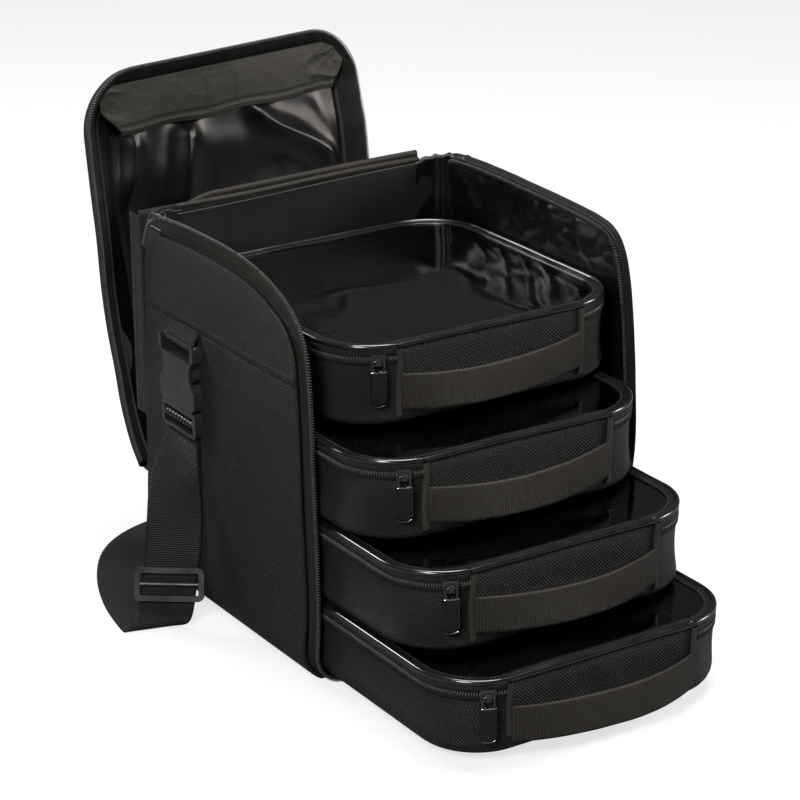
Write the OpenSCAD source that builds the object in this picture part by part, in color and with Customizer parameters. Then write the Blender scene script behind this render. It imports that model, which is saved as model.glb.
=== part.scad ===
// Soft-sided make-up case that stands open, with four zipped pouches stacked in it like drawers.
// Millimetres. X is the width, -Y is the open front, Z is up.
// The origin is on the ground, under the middle of the case body.

/* [Pouches] */
// Width of each pouch
pouch_w = 288; // [270:1:310]
// Depth of each pouch, front wall to back wall
pouch_d = 285; // [270:1:300]
// Height of each pouch, over its piping
pouch_h = 72; // [68:1:80]
// Radius of the pouch's upright corners
pouch_corner_r = 58; // [50:1:62]
// Radius of the bottom edge of the three upper pouches
pouch_base_r = 8; // [6:1:12]
// Radius of the bottom edge of the lowest pouch, which lies in the rounded channel
low_pouch_base_r = 20; // [18:1:22]
// Thickness of a pouch's padded wall
pouch_wall = 3; // [2:0.5:4]
// Half the distance between the two bound seams on the front wall
seam_half = 93.5; // [90:0.5:96]
// How far each pouch is pulled out, from the lowest up
pull_out = [199.4, 143.4, 75.4, 4.4];
// How far each pouch lies off the middle of the case, from the lowest up
side_shift = [-11, -9, -9, 12];

/* [Pouch trim] */
// Radius of the piping round a pouch's rim
piping_r = 2.5; // [2:0.1:3]
// Width of the fabric border round the clear window
border_w = 14; // [10:1:18]
// Thickness of the clear window sheet
window_t = 0.9; // [0.6:0.1:1.1]
// Width of the webbing of a pouch's handle
handle_w = 32; // [25:1:38]
// How far a handle stands off the front wall
handle_bulge = 19; // [15:1:24]
// Height of a handle's lower edge over the pouch's bottom
handle_rise = 14.5; // [10:0.5:18]

/* [Case] */
// Thickness of the case's padded walls, lining included
wall_t = 5; // [4.5:0.5:7]
// Free width beside a centred pouch
side_play = 14; // [13:1:20]
// Free height over the stack of pouches
headroom = 55.8; // [50:0.1:70]
// Outer radius of the channel's long bottom corners
base_corner_r = 28; // [27.5:0.5:34]
// Radius of the side panels' top front corner
front_top_r = 62; // [50:1:75]
// Radius of the side panels' top back corner
back_top_r = 25; // [20:1:32]

/* [Zips] */
// Width of one half of the main zip's tape
tape_w = 16; // [14:1:20]
// Thickness of zip tape
tape_t = 1.2; // [1:0.1:1.4]
// Radius of the main zip's coil
main_coil_r = 1.8; // [1.5:0.1:2]
// Radius of a pouch zip's coil
pouch_coil_r = 1.5; // [1.2:0.1:1.7]
// Length of a zip pull's plate
pull_l = 30; // [24:1:34]
// Width of a zip pull's plate
pull_w = 12; // [10:1:14]

/* [Cover] */
// Thickness of the cover's padded panels
cover_t = 6; // [5:0.5:7]
// Height over the ground of the fold between the cover's two sections
fold_z = 92; // [85:1:110]
// Distance of the fold behind the back panel, in the middle of the case
fold_back = 57.9; // [50:0.1:70]
// Radius of the turn from the fold up into the front section
fold_r = 28; // [24:1:34]
// Length of the straight part of the front section
front_section_l = 330; // [300:1:350]
// Backward lean of the front section
front_section_lean = 8.3; // [4:0.1:12]
// Turn of the front section about the upright
front_section_turn = 10.4; // [0:0.1:12]
// Radius of the corners at the cover's free end
cover_corner_r = 57; // [45:1:65]

/* [Strap and buckles] */
// Width of the shoulder strap's webbing
strap_w = 50; // [45:1:52]
// Thickness of one layer of webbing
web_t = 1.6; // [1.4:0.1:2]
// Width of a side-release buckle
buckle_w = 62; // [60:1:66]
// Thickness of a buckle's shell
buckle_t = 13; // [12:0.5:15]
// Place of the buckles along the depth, back of the middle
buckle_y = 62; // [40:1:80]
// Distance of the side seam below the top of the case
seam_drop = 84; // [70:1:100]

/* [Hidden] */
$fn = 64;

// Clearances: between pieces that slide or turn past each other, and between sewn layers
run_gap = 0.3;
sewn_gap = 0.1;
// Gap left behind a pouch that is pushed home, and in front of it
back_gap = 1.3;
front_gap = 2.7;

lining_t = 0.8;
panel_t = wall_t - lining_t - sewn_gap;
board_t = 1.5;
base_t = panel_t - board_t - sewn_gap;

pouch_pitch = pouch_h + run_gap;
case_w = pouch_w + 2 * side_play + 2 * wall_t;
case_d = pouch_d + wall_t + back_gap + front_gap;
case_h = wall_t + 4 * pouch_pitch + headroom;
front_y = -case_d / 2;
back_y = case_d / 2;
base_seam_x = case_w / 2 - base_corner_r;

fabric = [0.13, 0.12, 0.12];
webbing = [0.17, 0.16, 0.15];
satin = [0.2, 0.19, 0.19];
plastic = [0.26, 0.25, 0.25];
pvc = [0.1, 0.1, 0.11, 0.6];

// A rectangle with rounded corners about the origin.
module round_rect(w, d, r) {
  square([w - 2 * r, d], center = true);
  square([w, d - 2 * r], center = true);
  for (x = [-1, 1], y = [-1, 1])
    translate([x * (w / 2 - r), y * (d / 2 - r)]) circle(r);
}

// Puts a profile drawn in Y and Z on its feet and runs it along X, about the middle.
module along_x(l) {
  rotate([90, 0, 90]) linear_extrude(l, center = true) children();
}

// Puts a profile drawn in X and Z on its feet and runs it along Y, from y0 to y1.
module along_y(y0, y1) {
  translate([0, y1, 0]) rotate([90, 0, 0]) linear_extrude(y1 - y0) children();
}

// The case body seen from the front, drawn in by an inset: upright sides and rounded bottom corners.
module channel(inset, top) {
  r = base_corner_r - inset;
  w = case_w / 2 - inset;
  translate([-w, inset + r]) square([2 * w, top - inset - r]);
  translate([r - w, inset]) square([2 * (w - r), r + 1]);
  for (s = [-1, 1]) translate([s * (w - r), inset + r]) circle(r);
}

module channel_wall(outer, inner, top) {
  difference() {
    channel(outer, top);
    channel(inner, top + 1);
  }
}

// The case body seen from the side, with its top edge and front edge drawn in.
module side_outline(inset) {
  r_front = front_top_r - inset;
  r_back = back_top_r - min(inset, back_top_r - 6);
  y0 = front_y + inset;
  z1 = case_h - inset;
  translate([y0, -1]) square([back_y - y0 - r_back, z1 - r_front + 1]);
  translate([y0 + r_front, -1]) square([back_y - y0 - r_front - r_back, z1 + 1]);
  translate([y0 + r_front, z1 - r_front]) circle(r_front);
  translate([back_y - r_back - 1, -1]) square([r_back + 1, z1 - r_back + 1]);
  translate([back_y - r_back, z1 - r_back]) circle(r_back);
}

// Side panel: padded fabric that turns under the case at its bottom corner. s is -1 left, 1 right.
module side_panel(s) {
  seam_z = case_h - seam_drop;
  color(fabric) difference() {
    intersection() {
      along_y(front_y + tape_w, back_y) channel_wall(0, panel_t, case_h + 1);
      along_x(case_w + 2) side_outline(tape_w);
      translate([s * (base_seam_x + case_w / 2), 0, case_h / 2])
        cube([case_w, 2 * case_d, 2 * case_h], center = true);
    }
    // the seam across the panel is a shallow groove
    translate([s * case_w / 2, 0, seam_z]) rotate([90, 0, 0])
      cylinder(r = 0.9, h = 2 * case_d, center = true, $fn = 16);
  }
}

module base_panel() {
  half = base_seam_x - sewn_gap;
  color(fabric) translate([-half, front_y + tape_w, 0]) cube([2 * half, case_d - tape_w, base_t]);
}

module base_board() {
  half = base_seam_x - sewn_gap;
  color([0.32, 0.31, 0.3]) translate([-half, front_y + tape_w, base_t + sewn_gap])
    cube([2 * half, case_d - tape_w, board_t]);
}

// Back panel: stands between the side panels, its top corners rounded.
back_top = case_h - 4;
back_corner_r = 30;
module back_shape(inset, top) {
  w = case_w / 2 - inset;
  difference() {
    channel(inset, top);
    for (s = [-1, 1]) translate([s * (w - back_corner_r), top - back_corner_r]) difference() {
      translate([s > 0 ? 0 : -back_corner_r - 1, 0]) square(back_corner_r + 1);
      circle(back_corner_r);
    }
  }
}

module back_panel() {
  color(fabric) along_y(back_y - panel_t, back_y) back_shape(panel_t + sewn_gap, back_top);
}

// Lining: one smooth skin inside the channel, and one on the back panel.
module body_lining() {
  color(satin) {
    intersection() {
      along_y(front_y + tape_w, back_y - wall_t - sewn_gap)
        channel_wall(panel_t + sewn_gap, wall_t, case_h + 1);
      along_x(case_w) side_outline(tape_w + 1);
    }
    along_y(back_y - wall_t, back_y - panel_t - sewn_gap) back_shape(wall_t + sewn_gap, back_top - 2);
  }
}

// Main zip, the case's half: tape and coil along both side panels and under the front edge.
zip_plane = main_coil_r;
zip_end_y = back_y - back_top_r + 4;
module body_zip() {
  tape_out = zip_plane - tape_t / 2;
  tape_in = zip_plane + tape_t / 2;
  coil_arc = front_top_r - main_coil_r;
  base_arc = base_corner_r - main_coil_r;
  color(webbing) {
    for (s = [-1, 1]) {
      translate([s * (case_w / 2 - zip_plane), 0, 0]) {
        intersection() {
          along_x(tape_t) difference() {
            side_outline(0);
            side_outline(tape_w - sewn_gap);
          }
          translate([-5, front_y - 5, base_corner_r]) cube([10, zip_end_y - front_y + 5, case_h]);
        }
        translate([0, front_y + front_top_r, case_h - main_coil_r]) rotate([-90, 0, 0])
          cylinder(r = main_coil_r, h = zip_end_y - front_y - front_top_r);
        translate([0, front_y + front_top_r, case_h - front_top_r]) rotate([90, 0, 90])
          rotate([0, 0, 90]) rotate_extrude(angle = 90) translate([coil_arc, 0]) circle(main_coil_r);
        translate([0, front_y + main_coil_r, base_corner_r])
          cylinder(r = main_coil_r, h = case_h - front_top_r - base_corner_r);
      }
      translate([s * (case_w / 2 - base_corner_r), front_y + main_coil_r, base_corner_r])
        rotate([90, 0, 0]) rotate([0, 0, s > 0 ? -90 : 180]) rotate_extrude(angle = 90)
          translate([base_arc, 0]) circle(main_coil_r);
    }
    translate([0, front_y + main_coil_r, main_coil_r]) rotate([0, 90, 0])
      cylinder(r = main_coil_r, h = case_w - 2 * base_corner_r, center = true);
    intersection() {
      along_y(front_y, front_y + tape_w - sewn_gap) channel_wall(tape_out, tape_in, case_h);
      translate([-case_w, front_y - 1, -1]) cube([2 * case_w, tape_w + 2, base_corner_r + 1]);
    }
  }
}

// The fabric hinge of the cover: a round welt on its axis, and the tape that holds it to the back.
hinge_r = 2.6;
hinge_y = back_y + 3.9;
hinge_z = back_top + 1.4;
welt_half = case_w / 2 - back_corner_r - 4;
module hinge_welt() {
  color(webbing) {
    translate([0, hinge_y, hinge_z]) rotate([0, 90, 0])
      cylinder(r = hinge_r, h = 2 * welt_half, center = true);
    translate([-welt_half, back_y + sewn_gap, hinge_z - 22]) cube([2 * welt_half, 1.5, 22]);
  }
}

// Cover, top section. It hangs behind the back panel and turns into the fold, which lies askew.
cover_half = case_w / 2 - 4;
hang_y = hinge_y + cover_t / 2 - 1.7;
hang_top = hinge_z - hinge_r - 0.8;
fold_y0 = back_y + fold_back;
fold_gap = cover_t / 2 + 0.4;
turn_z = case_h - 110;

function fold_y(x) = fold_y0 + x * tan(front_section_turn);
function bezier(p, t) =
  pow(1 - t, 3) * p[0] + 3 * pow(1 - t, 2) * t * p[1] + 3 * (1 - t) * t * t * p[2] + pow(t, 3) * p[3];
function unit(v) = v / norm(v);

// The hanging section's middle line at a place x: straight down, then a curve that ends at the fold.
function hang_curve(x) = let (
    end_y = fold_y(x) - fold_gap,
    reach = end_y - hang_y,
    p = [[hang_y, turn_z], [hang_y, fold_z + 12 + 0.25 * reach],
         [hang_y + 0.3 * reach, fold_z], [end_y, fold_z]]
  ) [for (i = [0:12]) bezier(p, i / 12)];
function hang_line(x, top) = concat([[hang_y, top]], hang_curve(x));
// A line moved sideways by a distance, towards the lining.
function moved(line, d) = [for (i = [0:len(line) - 1]) let (
    a = line[max(i - 1, 0)], b = line[min(i + 1, len(line) - 1)], t = unit(b - a)
  ) line[i] + d * [-t[1], t[0]]];

// A sheet between two offsets of the hanging line, for x from -half to half.
module hanging_sheet(d0, d1, half, top) {
  columns = 8;
  count = len(hang_line(0, top));
  ring = 2 * count;
  points = [for (c = [0:columns]) let (x = -half + 2 * half * c / columns, line = hang_line(x, top))
    each concat([for (q = moved(line, d0)) [x, q[0], q[1]]],
                [for (i = [count - 1:-1:0]) let (q = moved(line, d1)[i]) [x, q[0], q[1]]])];
  sides = [for (c = [0:columns - 1], i = [0:ring - 1]) let (j = (i + 1) % ring)
    each [[c * ring + i, (c + 1) * ring + i, (c + 1) * ring + j],
          [c * ring + i, (c + 1) * ring + j, c * ring + j]]];
  caps = [for (i = [0:count - 2]) each let (j = ring - 1 - i, e = columns * ring) [
    [i, i + 1, j], [i + 1, j - 1, j],
    [e + i, e + j, e + i + 1], [e + i + 1, e + j, e + j - 1]]];
  polyhedron(points, concat(sides, caps));
}

module cover_top_panel() {
  color(fabric) hanging_sheet(-cover_t / 2, cover_t / 2, cover_half, hang_top);
}

module cover_top_lining() {
  color(satin) hanging_sheet(cover_t / 2 + sewn_gap, cover_t / 2 + sewn_gap + lining_t,
                             cover_half - tape_t - 2, hang_top - 2);
}

// Main zip, the hanging section's part: a band on each side edge, with the coil on its rim.
module cover_top_zip() {
  band = 14;
  low_z = fold_z + 45;
  color(webbing) for (s = [-1, 1]) {
    line = moved(hang_line(s * cover_half, hang_top - 6), cover_t / 2 + sewn_gap);
    kept = [for (q = line) if (q[1] > low_z) q];
    root = [for (q = kept) [q[0], q[1]]];
    rim = [for (i = [len(kept) - 1:-1:0]) [kept[i][0] + band, kept[i][1]]];
    rim_in = [for (q = kept) [q[0] + band - 2, q[1]]];
    translate([s * (cover_half - tape_t / 2), 0, 0]) {
      along_x(tape_t) polygon(concat(root, rim));
      along_x(2 * main_coil_r) polygon(concat(rim_in, rim));
    }
  }
}

// Cover, front section. It stands up from the fold with its lining to the front.
module at_fold() {
  translate([0, fold_y0, fold_z]) rotate([0, 0, front_section_turn]) children();
}

// From the fold's frame to the foot of the straight part.
module at_front_foot() {
  translate([0, fold_r * cos(front_section_lean), fold_r * (1 - sin(front_section_lean))])
    rotate([-front_section_lean, 0, 0]) children();
}

// The turn up from the fold, as a wall between two radii. It is drawn in Y and Z from the foot.
module fold_turn(r0, r1) {
  start = fold_gap / fold_r * 180 / PI - 90 + front_section_lean;
  middle = front_section_lean - 45;
  reach = 2 * fold_r;
  translate([-fold_r, 0]) intersection() {
    difference() {
      circle(r1);
      circle(r0);
    }
    polygon([[0, 0], reach * [cos(start), sin(start)], reach * [cos(middle), sin(middle)], [reach, 0]]);
  }
}

// The straight part's outline in X and Z: square at its foot, rounded at its free end.
module front_outline(inset) {
  w = case_w / 2 - inset;
  r = cover_corner_r - inset;
  l = front_section_l - inset;
  translate([-w, 0]) square([2 * w, l - r]);
  translate([r - w, 0]) square([2 * (w - r), l]);
  for (s = [-1, 1]) translate([s * (w - r), l - r]) circle(r);
}

module cover_front_panel() {
  color(fabric) at_fold() {
    rotate([0, 90, 0]) cylinder(r = hinge_r, h = case_w - 12, center = true);
    translate([6 - case_w / 2, 0, -1]) cube([case_w - 12, fold_gap + 1, 2]);
    at_front_foot() {
      along_x(case_w) fold_turn(fold_r - cover_t / 2, fold_r + cover_t / 2);
      along_y(-cover_t / 2, cover_t / 2) front_outline(0);
    }
  }
}

// Lining of the front section, with the gathered strip of lining sewn along its free end.
strip_w = 236;
strip_h = 46;
module cover_front_lining() {
  inset = tape_t + 3;
  face = -cover_t / 2 - sewn_gap;
  color(satin) at_fold() at_front_foot() {
    along_x(case_w - 2 * inset)
      fold_turn(fold_r - cover_t / 2 - sewn_gap - lining_t, fold_r - cover_t / 2 - sewn_gap);
    along_y(face - lining_t, face) front_outline(inset);
    translate([0, 0, front_section_l - inset - strip_h / 2 - 8])
      along_y(face - lining_t - sewn_gap - 4, face - lining_t - sewn_gap)
        round_rect(strip_w, strip_h, 5);
  }
}

// Main zip, the front section's part: a band all round the free end, with the coil on its rim.
module cover_front_zip() {
  band = 16;
  face = -cover_t / 2 - sewn_gap;
  inner_r = fold_r - cover_t / 2 - sewn_gap;
  color(webbing) at_fold() at_front_foot() {
    for (s = [-1, 1]) translate([s * (case_w / 2 - 1 - tape_t / 2), 0, 0])
      along_x(tape_t) fold_turn(inner_r - band, inner_r);
    along_y(face - band, face) difference() {
      front_outline(1);
      translate([0, -1]) front_outline(1 + tape_t);
      translate([-case_w, -2]) square([2 * case_w, 2]);
    }
    along_y(face - band, face - band + 2 * main_coil_r - 0.6) difference() {
      front_outline(0);
      translate([0, -1]) front_outline(2 * main_coil_r);
      translate([-case_w, -2]) square([2 * case_w, 2]);
    }
  }
}

// Main sliders. Each rides the coil on a side panel's top edge, with its pull on one face.
slider_l = 13;
slider_w = 10;
slider_h = 9.4;
bridge_r = 1.4;
slider_park_y = zip_end_y - slider_l / 2 - 2;
module at_main_slider(s) {
  translate([s * (case_w / 2 - zip_plane), slider_park_y, case_h - main_coil_r]) children();
}

// side is the direction along X that the pull hangs on.
module main_slider(s, side) {
  color(plastic) at_main_slider(s) difference() {
    union() {
      translate([-slider_w / 2, -slider_l / 2, 4.6 - slider_h]) cube([slider_w, slider_l, slider_h]);
      translate([side * slider_w / 2, 0, 0]) rotate([90, 0, 0])
        cylinder(r = 3.2, h = 4, center = true);
    }
    rotate([90, 0, 0]) cylinder(r = main_coil_r + run_gap, h = 2 * slider_l, center = true);
    translate([-tape_t / 2 - run_gap, -slider_l, -slider_h]) cube([tape_t + 2 * run_gap, 2 * slider_l, slider_h]);
    translate([side * (slider_w / 2 + 1.4), 0, 0]) rotate([90, 0, 0])
      cylinder(r = bridge_r, h = 10, center = true);
  }
}

// A pull: a cross bar through the slider's bridge, a wire frame, and a flat plate with a round end.
// The bar lies along Y, and the plate hangs down with its face to X.
pull_bar_r = 1.34;
module pull() {
  frame_l = 8;
  rotate([90, 0, 0]) cylinder(r = pull_bar_r, h = 8.4, center = true);
  for (s = [-1, 1]) translate([-0.9, s * 3.4 - 0.8, -frame_l]) cube([1.8, 1.6, frame_l]);
  translate([-0.9, 0, -frame_l]) rotate([90, 0, 90]) linear_extrude(1.8) difference() {
    union() {
      translate([-pull_w / 2, -pull_l + pull_w / 2]) square([pull_w, pull_l - pull_w / 2 - 1]);
      translate([-4.2, -1.5]) square([8.4, 2]);
      translate([0, -pull_l + pull_w / 2]) circle(pull_w / 2);
    }
    translate([-3, -7]) square([6, 3]);
  }
}

module main_pull(s, side) {
  color(plastic) at_main_slider(s) translate([side * (slider_w / 2 + 1.4), 0, 0]) pull();
}

// The frame of pouch i, from 0 at the bottom: origin under the middle of its front wall.
function pouch_front_y(i) = back_y - wall_t - back_gap - pouch_d - pull_out[i];
function pouch_z(i) = wall_t + run_gap + i * pouch_pitch;
module at_pouch(i) {
  translate([side_shift[i], pouch_front_y(i), pouch_z(i)]) children();
}

corner_x = pouch_w / 2 - pouch_corner_r;
seam_a = asin((seam_half - corner_x) / pouch_corner_r);
gap_a = run_gap / pouch_corner_r * 180 / PI;
rim_z = pouch_h - piping_r;
skirt_h = 7.5;
wall_top = rim_z - skirt_h - 5;
coil_z = rim_z - skirt_h - 2.5;
piping_in = 1.5;

// Sweeps a profile round the pouch, from one front seam round the back to the other.
// The profile is drawn with X as the distance from a corner's axis and Y as the height.
module round_back(a) {
  r = pouch_corner_r;
  d = pouch_d;
  translate([-corner_x, r, 0]) rotate([0, 0, 180]) rotate_extrude(angle = 90 - a) children();
  translate([corner_x, r, 0]) mirror([0, 1, 0]) rotate_extrude(angle = 90 - a) children();
  translate([corner_x, d - r, 0]) rotate_extrude(angle = 90) children();
  translate([-corner_x, d - r, 0]) rotate([0, 0, 90]) rotate_extrude(angle = 90) children();
  translate([-corner_x, r, 0]) rotate([90, 0, 180]) linear_extrude(d - 2 * r) children();
  translate([corner_x, d - r, 0]) rotate([90, 0, 0]) linear_extrude(d - 2 * r) children();
  translate([-corner_x, d - r, 0]) rotate([90, 0, 90]) linear_extrude(2 * corner_x) children();
}

// Sweeps a profile along the straight part of the front wall.
module across_front() {
  translate([corner_x, pouch_corner_r, 0]) rotate([90, 0, -90]) linear_extrude(2 * corner_x) children();
}

// A pouch's wall in section, with the rounded edge that joins it to the floor.
module tray_section(base_r) {
  r = pouch_corner_r;
  difference() {
    union() {
      translate([r - base_r, base_r]) square([base_r, wall_top - base_r]);
      translate([r - base_r, base_r]) circle(base_r);
    }
    translate([r - base_r - 1, base_r]) square([base_r - pouch_wall + 1, pouch_h]);
    translate([r - base_r, base_r]) circle(base_r - pouch_wall);
    translate([r - 2 * base_r - 1, -1]) square([base_r + 1, 2 * base_r + 2]);
  }
}

module pouch_tray(i) {
  r = pouch_corner_r;
  base_r = i == 0 ? low_pouch_base_r : pouch_base_r;
  binding_a = 3.5;
  floor_edge = base_r - 0.5;
  color(fabric) at_pouch(i) {
    round_back(0) tray_section(base_r);
    across_front() tray_section(base_r);
    translate([0, pouch_d / 2, 0]) linear_extrude(pouch_wall)
      round_rect(pouch_w - 2 * floor_edge, pouch_d - 2 * floor_edge, r - floor_edge);
    // between the seams the front wall goes on up to its own piping, on which the lid turns
    translate([-seam_half, 0.2, wall_top - 1]) cube([2 * seam_half, pouch_wall - 0.3, rim_z - wall_top + 1]);
    translate([0, piping_in, rim_z]) rotate([0, 90, 0]) cylinder(r = piping_r, h = 2 * seam_half, center = true);
    for (s = [-1, 1]) translate([s * corner_x, r, 0])
      rotate([0, 0, 270 + s * (seam_a - 0.5 - binding_a / 2) - binding_a / 2])
        rotate_extrude(angle = binding_a)
          translate([r - 1, base_r + 0.5]) square([2.2, rim_z - 3.5 - base_r]);
  }
}

// Pouch zip: tape inside the wall, and the coil in the gap between wall and lid.
module pouch_zip(i) {
  r = pouch_corner_r;
  color(webbing) at_pouch(i) round_back(seam_a + gap_a) {
    translate([r - pouch_wall - sewn_gap - 1, wall_top - 7]) square([1, 11.5]);
    translate([r - pouch_wall - sewn_gap - 0.5, coil_z - 0.5]) square([2, 1]);
    translate([r - 0.8, coil_z]) circle(pouch_coil_r);
  }
}

// The lid's fabric: skirt, piping and the border that holds the window.
// It ends 1 mm short of each front seam, so that it turns clear of the front wall.
module pouch_lid_rim(i) {
  r = pouch_corner_r;
  lid_a = seam_a + 1 / r * 180 / PI;
  color(fabric) at_pouch(i) {
    round_back(lid_a) {
      translate([r - pouch_wall, rim_z - skirt_h]) square([pouch_wall, skirt_h]);
      translate([r - piping_in, rim_z]) circle(piping_r, $fn = 12);
      translate([r - border_w, rim_z + 0.3]) square([border_w - piping_in, 1.2]);
    }
    translate([-seam_half - 3, piping_in + piping_r + run_gap, rim_z + 0.4])
      cube([2 * seam_half + 6, border_w - piping_in - piping_r - run_gap, 1]);
  }
}

module pouch_window(i) {
  inset = pouch_wall + 1.4;
  front_edge = piping_in + piping_r + 2 * run_gap;
  color(pvc) at_pouch(i) translate([0, 0, rim_z - 0.2 - window_t]) difference() {
    translate([0, pouch_d / 2, 0]) linear_extrude(window_t)
      round_rect(pouch_w - 2 * inset, pouch_d - 2 * inset, pouch_corner_r - inset);
    translate([-pouch_w, -1, -1]) cube([2 * pouch_w, 1 + front_edge, 3]);
  }
}

// Handle: a band of webbing that bows out between the two bound seams.
module pouch_handle(i) {
  half = seam_half - 5;
  t = 2;
  rise = handle_bulge - 0.2;
  r = (half * half + rise * rise) / (2 * rise);
  a = asin(half / r);
  color(webbing) at_pouch(i) translate([0, r - handle_bulge, handle_rise])
    rotate([0, 0, 270 - a]) rotate_extrude(angle = 2 * a, $fn = 180) translate([r, 0]) square([t, handle_w]);
}

// Pouch slider: it hugs the coil on the front left corner. Its frame has X outwards.
slider_a = 25;
module at_slider_corner(i) {
  at_pouch(i) translate([-corner_x, pouch_corner_r, 0]) rotate([0, 0, 270 - slider_a]) children();
}
pull_reach = pouch_corner_r + 6.6;
module pouch_slider(i) {
  r = pouch_corner_r;
  half_a = 5.6;
  color(plastic) at_slider_corner(i) {
    rotate([0, 0, -half_a]) rotate_extrude(angle = 2 * half_a) difference() {
      translate([r + 0.4, coil_z - 4.5]) square([4.2, 9]);
      translate([r - 1, coil_z - pouch_coil_r - run_gap]) square([2.1, 2 * (pouch_coil_r + run_gap)]);
    }
    difference() {
      translate([r + 4, -2, coil_z - 2.6]) cube([4.8, 4, 5.2]);
      translate([pull_reach, 0, coil_z]) rotate([90, 0, 0]) cylinder(r = bridge_r, h = 10, center = true);
    }
  }
}

module pouch_pull(i) {
  color(plastic) at_slider_corner(i) translate([pull_reach, 0, coil_z]) pull();
}

// Side-release buckles. The buckle's frame has X across the webbing, Y up and Z outwards,
// with its origin on the side panel at the top of the shell.
shell_l = 60;
plug_l = 24;
buckle_seat = 1;
buckle_top = case_h - seam_drop - 13;
bar_y = -3;
bar_z = buckle_seat + buckle_t / 2;
module at_buckle(s) {
  translate([s * case_w / 2, buckle_y, buckle_top]) rotate([90, 0, s * 90]) children();
}

module buckle_shell(s) {
  cut_r = 17;
  cut_y = -27;
  cavity_t = 7.5;
  web_slot = strap_w + 2;
  color(plastic) at_buckle(s) {
    translate([0, 0, buckle_seat]) difference() {
      translate([0, -shell_l / 2, 0]) linear_extrude(buckle_t) round_rect(buckle_w, shell_l, 7);
      for (x = [-1, 1]) translate([x * (buckle_w / 2 + 9), cut_y, -1]) cylinder(r = cut_r, h = buckle_t + 2);
      translate([-web_slot / 2, -15, -1]) cube([web_slot, 20, buckle_t + 2]);
      translate([-25, -shell_l - 1, (buckle_t - cavity_t) / 2]) cube([50, shell_l - 19 + 1, cavity_t]);
    }
    translate([0, bar_y, bar_z]) rotate([0, 90, 0]) cylinder(r = 3, h = web_slot + 4, center = true);
  }
}

// Webbing tabs, sewn into the side seams, each looped round the bar of its shell.
module strap_tabs() {
  loop_r = 3.2;
  seam_y = case_h - seam_drop - buckle_top;
  color(webbing) for (s = [-1, 1]) at_buckle(s) {
    translate([0, 0, 0]) along_x(strap_w) {
      translate([bar_y, bar_z]) difference() {
        circle(loop_r + 2);
        circle(loop_r);
      }
      translate([bar_y, bar_z - loop_r - 2]) square([seam_y - bar_y, 2]);
      translate([seam_y - 4, sewn_gap]) square([4, bar_z - loop_r - 1]);
    }
  }
}

plug_y = -shell_l - 1;
arm_root = [19.5, -shell_l + 1.8];
module buckle_plug(s) {
  h = 11;
  color(plastic) at_buckle(s) translate([0, 0, buckle_seat + 1]) {
    difference() {
      translate([0, plug_y - plug_l / 2, 0]) linear_extrude(h) round_rect(buckle_w - 2, plug_l, 6);
      translate([-strap_w / 2 - 0.8, plug_y - plug_l + 3.4, -1]) cube([strap_w + 1.6, plug_l - 8.4, h + 2]);
    }
    // the ribbed ladder bar in front, and the round bar that the webbing goes round
    translate([0, plug_y - 12.5, h - 3]) rotate([0, 90, 0]) cylinder(r = 3, h = strap_w + 4, center = true);
    for (k = [0:8]) translate([-21 + 5.25 * k, plug_y - 12.5, h - 3]) rotate([0, 90, 0])
      cylinder(r = 3.7, h = 2.4, center = true);
    translate([0, plug_y - 10.5, 2.2]) rotate([0, 90, 0]) cylinder(r = 1.8, h = strap_w + 4, center = true);
    // the middle tongue guides the plug into the shell
    translate([-7, plug_y - 1, (h - 5) / 2]) cube([14, 34, 5]);
  }
}

// One sprung arm of a plug; x is the side of the plug that it is on.
module buckle_arm(s, x) {
  t = 6.5;
  head_y = -27;
  color(plastic) at_buckle(s) translate([0, 0, bar_z - t / 2]) linear_extrude(t) {
    translate([x * arm_root[0], arm_root[1]]) circle(2.4);
    translate([x * arm_root[0] - 2, arm_root[1]]) square([4, head_y - arm_root[1]]);
    translate([x * (arm_root[0] + 1), head_y]) circle(7);
  }
}

// Shoulder strap: a flat band swept along points. It hangs from the left buckle, lies on the ground
// round the case's back, and goes up to the right buckle.
// A point holds the middle of the band and the direction of its width.
strap_top = buckle_top + plug_y - plug_l - 1;
side_x = case_w / 2;
strap_lie = web_t / 2 + run_gap;
function drop_points(s) = [
  [[s * (side_x + 6.5), buckle_y, strap_top], [0, -1, 0]],
  [[s * (side_x + 13), buckle_y - 4, strap_top - 16], [-0.2 * s, -0.98, 0]],
  [[s * (side_x + 24), buckle_y - 12, 128], [-0.52 * s, -0.85, 0]],
  [[s * (side_x + 31), buckle_y - 21, 95], [-0.74 * s, -0.67, 0]],
  [[s * (side_x + 35), buckle_y - 22, 62], [-0.79 * s, -0.61, 0]],
  [[s * (side_x + 39.5), buckle_y - 24, 46.5], [-0.81 * s, -0.59, 0]],
  [[s * (side_x + 47), buckle_y - 29, 20], [-0.82 * s, -0.57, 0]],
  [[s * (side_x + 53), buckle_y - 32, 8], [-0.9 * s, -0.43, 0]],
  [[s * (side_x + 58), buckle_y - 28.5, strap_lie + 1.3], [-0.95 * s, -0.31, 0]],
  [[s * (side_x + 60.5), buckle_y - 20, strap_lie], [-0.97 * s, -0.24, 0]]
];
function ground_points(s) = [
  [[s * (side_x + 50), buckle_y + 33, strap_lie], [-0.96 * s, -0.28, 0]],
  [[s * (side_x + 30), back_y + 1, strap_lie], [-0.88 * s, -0.47, 0]],
  [[s * (side_x + 2), back_y + 45, strap_lie], [-0.7 * s, -0.71, 0]],
  [[s * (side_x - 33), back_y + 70, strap_lie], [-0.4 * s, -0.92, 0]],
  [[s * (side_x - 78), back_y + 79, strap_lie], [-0.1 * s, -0.99, 0]]
];
function reversed(list) = [for (i = [len(list) - 1:-1:0]) list[i]];

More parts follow.
